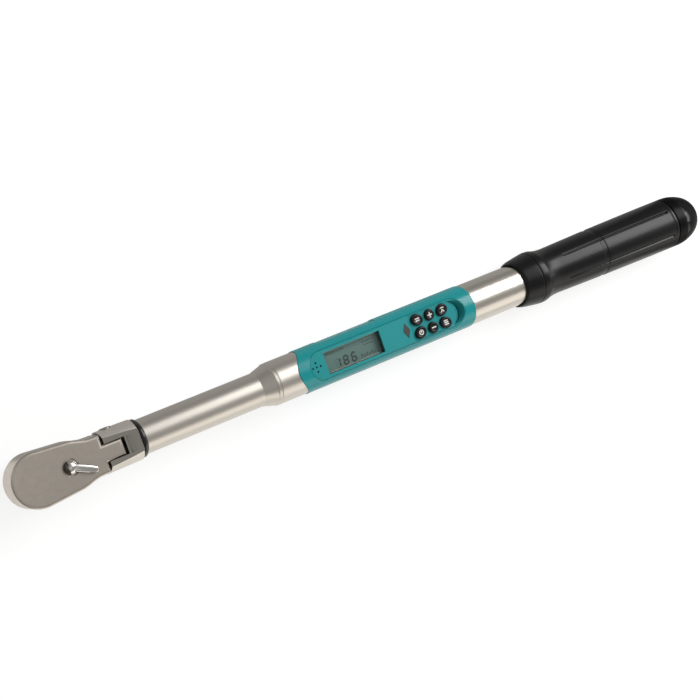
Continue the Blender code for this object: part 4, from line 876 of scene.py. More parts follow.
@dataclass
class RatchetHead:
    """Forged head: pear outline, tang for the flex pin, lever recess and wheel bore."""

    radius: float = 21.2
    top: float = 12.2
    bottom: float = -12.0
    taper: Flat = (28.7, 18.85)
    neck: Flat = (46.5, 15.0)
    shoulder: Flat = (53.3, 14.8)
    edge: float = 0.9
    rim_foot: tuple[Flat, ...] = ((-0.10, 0.0), (0.0, 0.03), (0.12, 0.12))
    rim_roll: tuple[Flat, ...] = ((0.30, -0.06), (0.18, 0.10), (0.02, 1.20), (0.0, 1.50))
    lower_round: float = 3.2
    tang_half: float = 6.6
    tang_end: float = 69.1
    tang_round: float = 2.0
    tang_lift: float = 0.5
    recess_radius: float = 6.7
    recess_depth: float = 1.0
    recess_foot: tuple[Flat, ...] = ((0.0, 0.35), (0.1, 0.1), (0.35, 0.0))
    recess_rim: tuple[Flat, ...] = ((-0.2, 0.0), (-0.05, 0.06), (0.1, 0.3))
    bore_radius: float = 15.5
    bore_top: float = 7.2
    hub_seat: Flat = (9.3, 8.3)
    ring_groove: tuple[float, float, float] = (-11.2, -9.9, 16.5)
    pawl_pocket: tuple[Point, Point] = ((10.0, -12.6, -6.5), (22.6, 12.6, 3.7))
    pawl_seat: float = 6.6
    lever_bore: float = 3.6
    detent_bore: Flat = (15.5, 1.75)
    cover_levels: Flat = (-9.8, -8.2)
    cover_radii: Flat = (11.1, 15.35)
    ring_levels: Flat = (-11.1, -10.1)
    ring_radius: float = 16.35

    def outline(self) -> list[Flat]:
        """Pear outline, anticlockwise from the head's nose."""
        slope = math.atan2(self.radius - self.taper[1], self.taper[0])
        start = (self.radius * math.sin(slope), self.radius * math.cos(slope))
        side = arc(self.radius, math.pi, 0.5 * math.pi - slope, 60)
        side += straight(start, self.taper, 10)[:-1]
        run = self.neck[0] - self.taper[0]
        lean = (self.taper[1] - start[1]) / (self.taper[0] - start[0]) * run
        for k in range(31):
            share = k / 30
            blend = 2.0 * share ** 3 - 3.0 * share ** 2 + 1.0
            push = share ** 3 - 2.0 * share ** 2 + share
            side.append((self.taper[0] + run * share,
                         blend * self.taper[1] + push * lean + (1.0 - blend) * self.neck[1]))
        side += straight(self.neck, self.shoulder, 6)
        side += [(self.shoulder[0], self.tang_half), (self.tang_end, self.tang_half)]
        return [(x, -y) for x, y in side] + list(reversed(side))[:-1]

    def levels(self) -> list[Flat]:
        """(level, inset) pairs from the lower face up to the top face."""
        pairs = []
        for k in range(9):
            angle = 0.5 * math.pi * k / 8
            pairs.append((self.bottom + self.lower_round * (1.0 - math.cos(angle)),
                          self.lower_round * (1.0 - math.sin(angle))))
        pairs += [(self.top - self.edge + rise, depth) for rise, depth in self.rim_foot]
        pairs += [(self.top - drop, self.edge + depth) for drop, depth in self.rim_roll]
        return pairs

    def housing(self) -> bpy.types.Object:
        """Builds the head with its tang, bores and recesses."""
        flat = self.outline()
        head = loft("ratchet_head", [[(x, y, level) for x, y in inset(flat, depth)]
                                     for level, depth in self.levels()])
        lever = (LEVER_X, 0.0, 0.0)
        side = self.tang_half + OVERCUT
        pocket_low, pocket_high = self.pawl_pocket
        cuts = [
            slab("tang_end", self.tang_cut(), -side, side, Axis.ACROSS),
            plug("bore", self.bottom - OVERCUT, self.bore_top, self.bore_radius, ROUND),
            plug("hub_seat", self.bore_top - OVERCUT, *self.hub_seat),
            plug("ring_groove", *self.ring_groove, ROUND),
            block("pawl_pocket", pocket_low, pocket_high),
            plug("pawl_seat", pocket_low[2], pocket_high[2], self.pawl_seat, centre=lever),
            plug("lever_bore", 0.0, self.top + OVERCUT, self.lever_bore, centre=lever),
            turned("lever_recess", self.recess_profile(), 96, Axis.UP, lever),
            plug("detent_bore", 0.0, *self.detent_bore, FINE, Axis.ALONG, (LEVER_X, 0.0, self.bore_top)),
            plug("pin_bore", -THROUGH, THROUGH, PIN_BORE, SMALL, Axis.ACROSS, (FLEX_X, 0.0, 0.0)),
        ]
        return combine(head, cuts, Operation.CUT)

    def tang_cut(self) -> list[Flat]:
        """Side view of what is cut off under and behind the tang to round its end."""
        start, low, end = self.shoulder[0], self.bottom + self.tang_lift, self.tang_end - 0.05
        lower = rounding(self.tang_round, (start, low), (end, self.top), (end, low), 6)
        upper = rounding(1.2, (end, low), (start, self.top), (end, self.top), 6)
        return [(start, low), *lower, *upper, (end, self.top + 1.0), (end + 3.0, self.top + 1.0),
                (end + 3.0, self.bottom - 1.0), (start, self.bottom - 1.0)]

    def recess_profile(self) -> list[Flat]:
        """Lever recess with a fillet at its floor and a softened rim."""
        floor, radius = self.top - self.recess_depth, self.recess_radius
        foot = [(floor + rise, radius - fillet) for rise, fillet in self.recess_foot]
        rim = [(self.top + rise, radius + out) for rise, out in self.recess_rim]
        return [(floor, 0.0), *foot, *rim, (rim[-1][0], 0.0)]

    def build(self) -> None:
        """Builds and installs the head, its cover and its ring."""
        head = install(self.housing(), "head", BLASTED_NICKEL, ["head_housing"], 28.0)
        # Painted shade: the tang's end faces, which look into the slot, take the nearly black slot finish.
        accent(head, SLOT_SHADE_STEEL, lambda middle, normal: middle.x > self.tang_end - 2.5 and normal.x > 0.6)
        (low, high), (inner, outer) = self.cover_levels, self.cover_radii
        cover = turned("wheel_cover", rounded_profile([
            (high, inner, 0.0), (high, outer, 0.2), (low, outer, 0.3), (low, inner, 0.3)]), ROUND, Axis.UP)
        install(cover, "head", GROUND_STEEL, ["gear_cover"])
        install(self.ring(), "head", SPRING_WIRE, ["retaining_ring"])

    def ring(self) -> bpy.types.Object:
        """Snap ring with its gap and a back that thickens towards the middle."""
        outer, inner = [], []
        for k in range(121):
            angle = math.radians(25.0) + math.radians(310.0) * k / 120
            thick = 2.6 - 0.8 * abs(math.cos(0.5 * (angle - math.pi)))
            bore = self.ring_groove[2] - thick
            outer.append((self.ring_radius * math.cos(angle), self.ring_radius * math.sin(angle)))
            inner.append((bore * math.cos(angle), bore * math.sin(angle)))
        return slab("snap_ring", outer + list(reversed(inner)), *self.ring_levels)


@dataclass
class DirectionLever:
    """Polished reversing lever: domed hub, blunt arm, shaft into the pawl."""

    rest: float = math.radians(-25.2)
    shaft_radius: float = 3.3
    shaft_end: float = -5.2
    hub_foot: float = 11.5
    hub_radius: float = 5.4
    dome_top: float = 15.9
    dome_rise: float = 3.7
    hub_reach: float = 2.2
    arm: tuple[tuple[float, float, float, float], ...] = (
        (0.0, 2.6, 12.85, 14.65), (3.5, 2.95, 12.85, 15.45), (8.0, 2.95, 12.85, 15.65),
        (14.0, 2.85, 12.85, 15.65), (18.0, 2.7, 12.87, 15.58), (19.4, 2.4, 12.95, 15.4),
        (20.1, 1.95, 13.1, 15.2), (20.55, 1.3, 13.35, 14.85))
    squareness: float = 0.7

    def arm_rings(self) -> list[Ring]:
        """Sections of the arm from inside the hub to its blunt tip."""
        rings = []
        for x, across, low, high in self.arm:
            middle, rise = 0.5 * (low + high), 0.5 * (high - low)
            ring = []
            for k in range(FINE):
                c, s = math.cos(TAU * k / FINE), math.sin(TAU * k / FINE)
                ring.append((x, across * math.copysign(abs(c) ** self.squareness, c),
                             middle + rise * math.copysign(abs(s) ** self.squareness, s)))
            rings.append(ring)
        return rings

    def build(self) -> None:
        """Builds and installs the lever."""
        dome = [(self.dome_top, 0.0)]
        for rise, out in arc(1.0, 0.0, 0.5 * math.pi, 12)[1:]:
            dome.append((self.dome_top - self.dome_rise + self.dome_rise * rise, self.hub_radius * out))
        foot = self.hub_foot
        dome += [(foot + 0.15, self.hub_radius), (foot, self.hub_radius - 0.15),
                 (foot, self.shaft_radius), (self.shaft_end, self.shaft_radius), (self.shaft_end, 0.0)]
        lever = turned("direction_lever", dome, 96, Axis.UP)
        combine(lever, [loft("arm", self.arm_rings())], Operation.FUSE)
        soften(lever, 0.5, 25.0, 3)
        turn = Matrix.Rotation(self.rest, 4, "Z")
        lever.data.transform(Matrix.Translation((LEVER_X * MM, 0.0, 0.0)) @ turn)
        install(lever, "direction_lever", POLISHED_CHROME, ["reverse_lever"], 50.0)
        # Painted dark reflection: the lever's flanks take a darker copy of the chrome.
        accent(lever, CHROME_FLANK_REFLECTION, self.is_painted_flank)

    def is_painted_flank(self, middle: Vector, normal: Vector) -> bool:
        """Tells whether a face belongs to the lever's flanks, which take the painted dark reflection.

        Args:
            middle: The face's middle.
            normal: Its normal.

        Returns:
            True on the hub's side towards the nose and on the arm's two long sides.
        """
        if middle.x - LEVER_X < self.hub_reach:
            return normal.x < -0.25 and normal.z < 0.93
        return normal.y < -0.50 or normal.y > 0.62


@dataclass
class SquareDrive:
    """Ratchet wheel, its boss and the square with its spring ball."""

    teeth: int = 32
    tip_radius: float = 15.0
    root_radius: float = 13.9
    low: float = -7.8
    high: float = 6.7
    boss_radius: float = 10.8
    boss_end: float = -13.4
    hub_radius: float = 8.0
    hub_top: float = 9.0
    square: float = 12.7
    corner: float = 1.1
    boss_edge: tuple[Flat, ...] = ((0.8, 0.0), (0.25, 0.2), (0.0, 0.8))
    shank_edge: tuple[Flat, ...] = ((0.0, 1.3), (0.15, 0.85), (0.9, 0.25), (1.6, 0.0))
    ball_radius: float = 2.4
    ball_proud: float = 1.0
    ball_up: float = 7.6
    ball_bore: Flat = (-4.2, 2.55)

    def wheel_outline(self) -> list[Flat]:
        """Outline of the wheel with its pointed teeth."""
        points = []
        for k in range(self.teeth):
            for share, radius in ((0.0, self.tip_radius), (0.12, self.tip_radius), (0.56, self.root_radius)):
                angle = TAU * (k + share - 0.06) / self.teeth
                points.append((radius * math.cos(angle), radius * math.sin(angle)))
        return points

    def square_ring(self, half: float, level: float) -> Ring:
        """One level of the square shank.

        Args:
            half: Half its width there.
            level: The level.

        Returns:
            The ring's points, anticlockwise.
        """
        ring = []
        reach = self.corner
        for quarter in range(4):
            turn = 0.5 * math.pi * quarter
            for x, y in arc(reach, 0.0, 0.5 * math.pi, 6, half - reach, half - reach):
                ring.append((x * math.cos(turn) - y * math.sin(turn),
                             x * math.sin(turn) + y * math.cos(turn), level))
        return ring

    def build(self) -> None:
        """Builds and installs the drive and its ball."""
        half, end = 0.5 * self.square, -AXIS_Z
        wheel = slab("square_drive", self.wheel_outline(), self.low, self.high)
        inner = self.high - OVERCUT
        boss = turned("boss", [
            (self.hub_top, 0.0), (self.hub_top, self.hub_radius), (inner, self.hub_radius),
            (inner, self.boss_radius),
            *((self.boss_end + rise, self.boss_radius - depth) for rise, depth in self.boss_edge),
            (self.boss_end, 0.0)], 128, Axis.UP)
        levels = [(end + rise, half - depth) for rise, depth in self.shank_edge]
        levels.append((self.boss_end + OVERCUT, half))
        shank = loft("shank", [self.square_ring(size, level) for level, size in levels])
        combine(wheel, [boss, shank], Operation.FUSE)
        level = end + self.ball_up
        start, bore = self.ball_bore
        hole = plug("ball_hole", start, half + OVERCUT, bore, 48, Axis.ACROSS, (0.0, 0.0, level))
        combine(wheel, [hole], Operation.CUT)
        install(wheel, "drive", TURNED_STEEL, ["drive_gear"], 30.0)
        centre = half - self.ball_radius + self.ball_proud
        round_side = arc(self.ball_radius, math.pi, 0.0, 32)
        round_side[0], round_side[-1] = (-self.ball_radius, 0.0), (self.ball_radius, 0.0)
        ball = turned("socket_ball", round_side, 48, Axis.ACROSS, (0.0, centre, level))
        install(ball, "drive_ball", POLISHED_CHROME, ["drive_ball"], 80.0)


@dataclass
class FlexFork:
    """Fork that carries the head, its pin and the rubber ring behind it."""

    tip_x: float = 54.2
    end_x: float = 83.3
    tip_radius: float = 16.5
    end_radius: float = 16.1
    spigot_radius: float = 11.6
    spigot_end: float = 112.0
    tip_tilt: float = math.radians(4.8)
    flat_level: float = 12.0
    flat_tilt: float = math.radians(2.9)
    slot_half: float = 6.9
    slot_end: float = 72.4
    ramp_low: float = 9.4
    land: float = 1.9
    ramp: tuple[Flat, ...] = ((0.0, 0.15), (1.5, 1.7), (4.9, 3.95))
    pin: Flat = (3.0, 4.6)
    pin_seat: Flat = (1.9, 4.75)
    plunger_bore: Flat = (15.9, 2.9)
    ridges: tuple[int, float, float] = (2, 1.8, 0.45)
    ring_centre: float = 85.35
    ring_outer: float = 15.35
    ring_section: float = 3.5

    def fork(self) -> bpy.types.Object:
        """Builds the fork: turned, flatted, slotted and bored."""
        body = turned("flex_fork", [
            (self.tip_x, 0.0), (self.tip_x, self.tip_radius), (self.tip_x + 20.0, self.tip_radius - 0.15),
            (self.end_x - 0.7, self.end_radius), (self.end_x, self.end_radius - 0.7),
            (self.end_x, self.spigot_radius), (self.spigot_end - 1.0, self.spigot_radius),
            (self.spigot_end, self.spigot_radius - 1.0), (self.spigot_end, 0.0)])
        half, flex = self.slot_half, (FLEX_X, 0.0, 0.0)
        cuts = [block("slot", (self.tip_x - 5.0, -half, -THROUGH), (self.slot_end, half, THROUGH))]
        for side in (1.0, -1.0):
            cuts += self.side_cuts(side)
        depth, seat = self.pin_seat
        deep, bore = self.plunger_bore
        cuts += [
            plug("pin_bore", -THROUGH, THROUGH, PIN_BORE, SMALL, Axis.ACROSS, flex),
            plug("pin_seat", self.tip_radius - depth, THROUGH, seat, SMALL, Axis.ACROSS, flex),
            plug("plunger_bore", self.slot_end - OVERCUT, self.slot_end + deep, bore, 48, Axis.ALONG),
        ]
        return soften(combine(body, cuts, Operation.CUT), 0.45, 35.0)

    def side_cuts(self, side: float) -> list[bpy.types.Object]:
        """Flat, nose and ramp cutters of the upper or lower side.

        Args:
            side: 1 for the upper side, -1 for the lower one.

        Returns:
            The cutters.
        """
        rise = math.tan(self.flat_tilt)
        far = self.end_x + 0.6
        lid = [(self.tip_x - 12.0, self.flat_level - 12.0 * rise),
               (far, self.flat_level + (far - self.tip_x) * rise), (far, 24.0), (self.tip_x - 12.0, 24.0)]
        lean = math.tan(self.tip_tilt)
        nose = [(self.tip_x - 9.0, 0.4), (self.tip_x + 0.02, 0.4), (self.tip_x + 20.0 * lean, 20.0),
                (self.tip_x - 9.0, 20.0)]
        land, foot = self.slot_end + self.land, self.ramp_low
        ramp = [(self.slot_end - 2.0, foot), *((land + along, foot + up) for along, up in self.ramp),
                (land + 5.4, 18.0), (self.slot_end - 2.0, 18.0)]
        cutters = []
        for name, outline, reach in (("lid", lid, THROUGH), ("nose", nose, THROUGH),
                                     ("ramp", ramp, self.slot_half)):
            cutters.append(slab(name, [(x, side * z) for x, z in outline], -reach, reach, Axis.ACROSS))
        return cutters

    def flex_pin(self) -> bpy.types.Object:
        """Builds the flex pin with its ridged head on the far side."""
        radius, head = self.pin
        seat, face = self.tip_radius - 1.6, self.tip_radius + 0.3
        pin = turned("flex_pin_head", rounded_profile([
            (-self.tip_radius + 0.8, 0.0, 0.0), (-self.tip_radius + 0.8, radius, 0.5), (seat, radius, 0.0),
            (seat, head, 0.2), (face, head, 0.35), (face, 0.0, 0.0)]), SMALL, Axis.ACROSS,
            (FLEX_X, 0.0, 0.0))
        most, pitch, half = self.ridges
        ridges = []
        for k in range(-most, most + 1):
            x = FLEX_X + pitch * k
            ridges.append(slab("ridge", [(x - half, face + 1.0), (x, face - 0.6), (x + half, face + 1.0)],
                               -6.0, 6.0))
        return combine(pin, ridges, Operation.CUT)

    def build(self) -> None:
        """Builds and installs the fork, the pin and the rubber ring."""
        fork = install(self.fork(), "handle", MILLED_NICKEL, ["fork"], 30.0)
        accent(fork, FORK_NICKEL, lambda middle, normal: math.hypot(middle.y, middle.z) > 15.0 and (
            normal.y * middle.y + normal.z * middle.z > 15.0))
        # Painted shade: the side and end walls inside the slot take the nearly black slot finish.
        accent(fork, SLOT_SHADE_STEEL, lambda middle, normal: middle.x < self.slot_end + 0.05 and (
            abs(middle.y) < self.slot_half + 0.1) and abs(normal.z) < 0.3)
        install(self.flex_pin(), "handle", GROUND_STEEL, ["flex_pin"], 30.0)
        section = 0.5 * self.ring_section
        centre = self.ring_outer - section
        profile = [(self.ring_centre + 0.98 * section * math.cos(TAU * k / 40),
                    centre + section * math.sin(TAU * k / 40)) for k in range(40)]
        install(turned("rubber_ring", profile), "handle", NITRILE, ["fork_seal_ring"], 80.0)


@dataclass
class Tube:
    """Steel tube: slim neck, flare with its fine rings, and the thick part behind it."""

    start: float = 87.4
    neck_radius: float = 13.8
    neck_bore: float = 11.9
    flare: Flat = (190.3, 203.5)
    radius: float = 17.5
    bore: float = 13.5
    bore_step: Flat = (200.0, 206.0)
    end: float = 612.0
    rings: tuple[tuple[float, float, float], ...] = (
        (-2.2, -0.60, 0.0), (-1.7, -0.15, 0.1), (-0.5, -0.05, 0.1), (0.0, -0.40, 0.0), (1.0, -0.35, 0.0),
        (1.6, 0.0, 0.2))

    def build(self, housing: "DisplayHousing") -> None:
        """Builds and installs the tube.

        Args:
            housing: The sleeve whose seat and opening are cut in it.
        """
        cone, thick = self.flare
        profile = rounded_profile([
            (self.start, self.neck_bore, 0.0), (self.start, self.neck_radius, 0.5),
            (cone, self.neck_radius, 0.0),
            *((thick + along, self.radius + out, corner) for along, out, corner in self.rings),
            (self.end, self.radius, 0.5), (self.end, self.bore, 0.0),
            (self.bore_step[1], self.bore, 0.0), (self.bore_step[0], self.neck_bore, 0.0)])
        tube = turned("steel_tube", profile, 192)
        seat = housing.sleeve("seat", housing.seat_radius, self.radius + 2.0, SLIP, 0.0)
        hole = slab("opening", housing.opening(GAP + 0.2), 0.0, 24.0)
        combine(tube, [seat, hole], Operation.CUT)
        install(tube, "handle", SATIN_NICKEL, ["tube"], 9.0)


@dataclass
class DisplayHousing:
    """Teal sleeve round the tube with its long opening."""

    seat_radius: float = 16.0
    left: float = 221.8
    tongue: float = 7.5
    right: float = 393.2
    bow: float = 3.4
    rim_x0: float = 232.75
    rim_x1: float = 382.75
    rim_half: float = 11.6
    recess: tuple[float, float, float] = (250.5, 306.3, 16.85)
    columns: int = 240

    def ends(self, angle: float, spread: float) -> Flat:
        """Stations of both ends at an angle from the top.

        Args:
            angle: The angle, 0 at the top.
            spread: Gap added at both ends.

        Returns:
            Left and right station.
        """
        turn = abs(angle)
        share = min(turn / math.radians(75.0), 1.0)
        left = self.left + self.tongue * share * share * (3.0 - 2.0 * share)
        right = self.right - self.bow * min(turn / (0.5 * math.pi), 1.0) ** 2
        return left - spread, right + spread

    def sleeve(self, name: str, inner: float, outer: float, spread: float, edge: float) -> bpy.types.Object:
        """Sleeve with the curved ends.

        Args:
            name: Name of the piece.
            inner: Its bore's radius.
            outer: Its radius.
            spread: Gap added at both ends.
            edge: Rounding of the outer edges.

        Returns:
            The new object.
        """
        rows = []
        for k in range(self.columns):
            angle = TAU * k / self.columns - math.pi
            left, right = self.ends(angle, spread)
            if edge > 0.0:
                section = [(left, inner), *rounding(edge, (left, inner), (right, outer), (left, outer), 5),
                           *rounding(edge, (left, outer), (right, inner), (right, outer), 5), (right, inner)]
            else:
                section = [(left, inner), (left, outer), (right, outer), (right, inner)]
            rows.append([(x, r * math.sin(angle), r * math.cos(angle)) for x, r in section])
        return loft(name, rows, closed=True)

    def opening(self, gap: float) -> list[Flat]:
        """Outline of the opening, clear of the panel's rim by a gap."""
        return stadium(self.rim_x0 - gap, self.rim_x1 + gap, self.rim_half + gap)

    def build(self) -> None:
        """Builds and installs the sleeve."""
        sleeve = self.sleeve("teal_housing", self.seat_radius + GAP, HOUSING_RADIUS, 0.0, 0.5)
        x0, x1, y = self.recess
        side = ((-1.2, 22.0), (-0.6, 18.1), (0.6, y))
        flat = [(x0 + along, across) for along, across in side]
        flat += [(x1 - along, across) for along, across in reversed(side)]
        cuts = [slab("opening", self.opening(0.22), 0.0, 24.0), slab("side_recess", flat, -6.0, 7.5)]
        combine(sleeve, cuts, Operation.CUT)
        install(sleeve, "handle", TEAL_ABS, ["display_housing"], 26.0)


@dataclass
class Panel:
    """Inset panel: rim lip, sloped end, window, sound holes, lamp window and keypad film."""

    x0: float = 233.6
    rim_x1: float = 381.9
    floor_x1: float = 378.3
    moat: Flat = (1.3, 1.2)
    mat_x1: float = 375.85
    half: float = 10.75
    rim: float = 0.85
    floor: float = 14.2
    thick: float = 2.0
    window: tuple[float, float, float] = (248.5, 302.2, 8.95)
    sound_x: float = 239.6
    sound_step: float = 3.6
    sound_radius: float = 0.85
    lamp: tuple[float, float, float] = (326.5, 3.2, 6.4)
    mat_x0: float = 331.8
    mat_thick: float = 0.8
    lamp_seat: float = 1.0
    lamp_thick: float = 1.0
    lamp_proud: float = 0.15
    points: int = 48
    lip: tuple[Flat, ...] = ((0.0, 0.30), (0.05, 0.12), (0.18, 0.03), (0.34, 0.0), (0.52, 0.02),
                             (0.68, 0.08), (0.80, 0.20))
    wall_shares: tuple[float, ...] = (0.0, 0.2, 0.4, 0.6, 0.8, 0.96)
    through: Flat = (8.0, 22.0)

    def surface(self, y: float) -> float:
        """Level of the housing's round surface at a distance across.

        Args:
            y: Distance across the tool.

        Returns:
            The level.
        """
        return math.sqrt(max(HOUSING_RADIUS ** 2 - y * y, 0.0))

    def rim_ring(self, depth: float, drop: float) -> Ring:
        """Ring that follows the round surface.

        Args:
            depth: Inset from the rim's outer edge.
            drop: Distance under the round surface.

        Returns:
            The ring's points.
        """
        outline = stadium(self.x0 - self.rim + depth, self.rim_x1 + self.rim - depth,
                          self.half + self.rim - depth, self.points)
        return [(x, y, self.surface(y) - drop) for x, y in outline]

    def wall_ring(self, share: float, depth: float = 0.0) -> Ring:
        """Ring on the wall between the rim and the floor.

        Args:
            share: 0 at the rim, 1 at the floor.
            depth: Inset from the wall.

        Returns:
            The ring's points.
        """
        top = stadium(self.x0 + depth, self.rim_x1 - depth, self.half - depth, self.points)
        foot = stadium(self.x0 + depth, self.floor_x1 - depth, self.half - depth, self.points)
        down = 0.5 * (share + share * share)
        ring = []
        for (ax, ay), (bx, by) in zip(top, foot):
            high = self.surface(ay) - 0.35
            ring.append((ax + (bx - ax) * share, ay + (by - ay) * share,
                         high + (self.floor - high) * down))
        return ring

    def moat_ring(self, depth: float, share: float) -> Ring:
        """Ring on the floor, sunk at the rounded end by the keys.

        Args:
            depth: Inset from the wall's foot.
            share: Part of the sink's depth.

        Returns:
            The ring's points.
        """
        middle = self.floor_x1 - self.half
        ring = []
        for x, y, level in self.wall_ring(1.0, depth):
            sink = min(max((x - middle) / (0.6 * self.half), 0.0), 1.0)
            ring.append((x, y, level - share * self.moat[1] * sink))
        return ring

    def body(self) -> bpy.types.Object:
        """Builds the tray-shaped panel before it is pierced."""
        base = self.floor - self.thick
        outer = stadium(self.x0 - self.rim, self.rim_x1 + self.rim, self.half + self.rim, self.points)
        rings = [[(x, y, base) for x, y in outer]]
        rings += [self.rim_ring(depth, drop) for depth, drop in self.lip]
        rings += [self.wall_ring(share) for share in self.wall_shares]
        rings += [self.moat_ring(0.02, 1.0), self.moat_ring(self.moat[0] - 0.1, 1.0),
                  self.moat_ring(self.moat[0], 0.0)]
        return loft("teal_panel", rings)

    def mat_outline(self, spread: float) -> list[Flat]:
        """Outline of the keypad film, widened by a gap."""
        half = self.half - 0.25 + spread
        back = self.mat_x1 + spread
        rounded = [(x, y) for x, y in stadium(self.mat_x0, back, half) if x > back - half - 0.01]
        return [(self.mat_x0 - spread, half), (self.mat_x0 - spread, -half)] + rounded

    def lamp_outline(self, spread: float) -> list[Flat]:
        """Diamond outline of the lamp window, widened by a gap."""
        x, half_x, half_y = self.lamp
        wide, tall = half_x + spread, half_y + spread * half_y / half_x
        return [(x - wide, 0.0), (x, -tall), (x + wide, 0.0), (x, tall)]

    def key_holes(self, keypad: "Keypad") -> list[bpy.types.Object]:
        """Cutters for the holes that the keys stand in.

        Args:
            keypad: The keys.

        Returns:
            The cutters.
        """
        return [slab("key_hole", key.outline(SLIP), *self.through) for key in keypad.keys]

    def build(self, keypad: "Keypad") -> None:
        """Builds and installs the panel, the film and the lamp window.

        Args:
            keypad: The keys whose holes pierce both.
        """
        panel = self.body()
        low, high = self.through
        wx0, wx1, wy = self.window
        cuts = [block("window", (wx0, -wy, low), (wx1, wy, high)),
                slab("lamp_seat", self.lamp_outline(0.14), self.floor - self.lamp_seat, high),
                slab("mat_seat", self.mat_outline(SLIP), self.floor - self.mat_thick - 0.1, high)]
        for dx, dy in ((0, 0), (1, 0), (-1, 0), (0, 1), (0, -1)):
            x, y = self.sound_x + self.sound_step * dx, self.sound_step * dy
            cuts.append(slab("sound_hole", circle(self.sound_radius, 28, x, y), low, high))
        combine(panel, cuts + self.key_holes(keypad), Operation.CUT)
        soften(panel, 0.10, 50.0)
        install(panel, "handle", PANEL_ABS, ["display_bezel"], 30.0)
        # Painted shade: the pocket's end wall takes the darker teal.
        accent(panel, POCKET_WALL_SHADE, lambda middle, normal: middle.x > self.floor_x1 - self.half and (
            normal.x < -0.2 and middle.z > self.floor - self.moat[1] - 0.1))
        mat = slab("keypad_film", self.mat_outline(0.0), self.floor - self.mat_thick, self.floor)
        combine(mat, self.key_holes(keypad), Operation.CUT)
        soften(mat, 0.10, 50.0)
        install(mat, "handle", MAT_FILM, ["keypad_mat"], 30.0)
        lamp_top = self.floor + self.lamp_proud
        lamp = slab("lamp_window", self.lamp_outline(0.0), lamp_top - self.lamp_thick, lamp_top)
        soften(lamp, 0.2, 30.0, 3)
        install(lamp, "handle", SMOKED_ACRYLIC, ["indicator_window"], 40.0)


class Legend(Enum):
    """Printed sign on a key."""

    UNIT = "unit"
    PLUS = "plus"
    PEAK = "peak"
    POWER = "power"
    MINUS = "minus"
    MODE = "mode"


@dataclass
class Key:
    """One key: domed cap with a dished top, flange and printed legend."""

    legend: Legend
    x: float
    y: float
    long: float
    short: float
    lean: float
    top: float = 16.4
    flange_top: float = 11.9
    stem_end: float = 7.1
    stem_radius: float = 1.6
    flange: tuple[Flat, ...] = ((0.9, 0.3), (0.0, 0.3), (0.0, 0.0))
    crown: tuple[Flat, ...] = (
        (1.15, 0.0), (0.75, 0.07), (0.4, 0.25), (0.15, 0.55), (0.03, 0.9), (0.0, 1.2), (0.04, 1.5),
        (0.13, 1.9), (0.2, 2.4), (0.22, 3.1))
    ink_level: float = 0.215
    ink: float = 0.03
    stroke: float = 0.9
    reach: float = 2.35
    spread: float = 1.12

    def outline(self, grow: float) -> list[Flat]:
        """Outline of the cap, grown by a distance."""
        return oval(self.long + grow, self.short + grow, 56, self.x, self.y, self.lean)

    def cap(self) -> bpy.types.Object:
        """Builds the cap with its flange and stem."""
        layers = [(self.flange_top - drop, grow) for drop, grow in self.flange]
        layers += [(self.top - drop, -shrink) for drop, shrink in self.crown]
        rings = [[(x, y, level) for x, y in self.outline(grow)] for level, grow in layers]
        cap = loft("key_cap_" + self.legend.value, rings)
        foot = circle(self.stem_radius, 32, self.x, self.y)
        stem = slab("stem", foot, self.stem_end, self.flange_top - 0.5)
        return combine(cap, [stem], Operation.FUSE)

    def strokes(self) -> list[list[Flat]]:
        """Outlines of the legend's strokes about the key's centre."""
        w, reach = 0.5 * self.stroke, self.reach
        bar = [(-reach, -w), (reach, -w), (reach, w), (-reach, w)]
        post = [(w, -reach), (w, reach), (-w, reach), (-w, -reach)]
        arrow = [(-1.9, 0.35), (0.7, 0.35), (0.7, -0.1), (2.1, 0.8), (0.7, 1.7), (0.7, 1.2), (-1.9, 1.2)]
        shapes = {
            Legend.MINUS: [bar],
            Legend.PLUS: [[(-reach, -w), (-w, -w), (-w, -reach), (w, -reach), (w, -w), (reach, -w),
                           (reach, w), (w, w), (w, reach), (-w, reach), (-w, w), (-reach, w)]],
            Legend.POWER: [arc_band(1.2, 2.0, math.radians(125.0), math.radians(415.0)),
                           [(x, 1.05 + 0.55 * y) for x, y in post]],
            Legend.UNIT: [arrow, [(-x, -y) for x, y in arrow]],
            Legend.PEAK: [[(-1.8, 1.1), (1.8, 1.1), (1.8, 1.9), (-1.8, 1.9)],
                          [(-1.9, -1.8), (-0.8, -1.8), (0.0, -0.6), (0.8, -1.8), (1.9, -1.8), (0.0, 0.7)]],
            Legend.MODE: [[(-x, y + step) for x, y in reversed([(-1.8, -w), (1.8, -w), (1.8, w), (-1.8, w)])]
                          for step in (-1.4, 0.0, 1.4)],
        }
        return shapes[self.legend]

    def build(self) -> None:
        """Builds and installs the key and its legend."""
        node = "key_" + self.legend.value
        install(self.cap(), node, KEY_RUBBER, [node], 38.0)
        level = self.top - self.ink_level
        for index, stroke in enumerate(self.strokes()):
            outline = [(self.x + self.spread * x, self.y + self.spread * y) for x, y in stroke]
            ink = slab("legend_%s_%d" % (self.legend.value, index + 1), outline, level, level + self.ink)
            install(ink, node, LEGEND_INK)


def arc_band(inner: float, outer: float, start: float, end: float) -> list[Flat]:
    """Outline of a stroke along an arc about the origin.

    Args:
        inner: Inner radius.
        outer: Outer radius.
        start: Angle where it starts.
        end: Angle where it ends.

    Returns:
        The points, anticlockwise.
    """
    return arc(outer, start, end, 24) + arc(inner, end, start, 24)


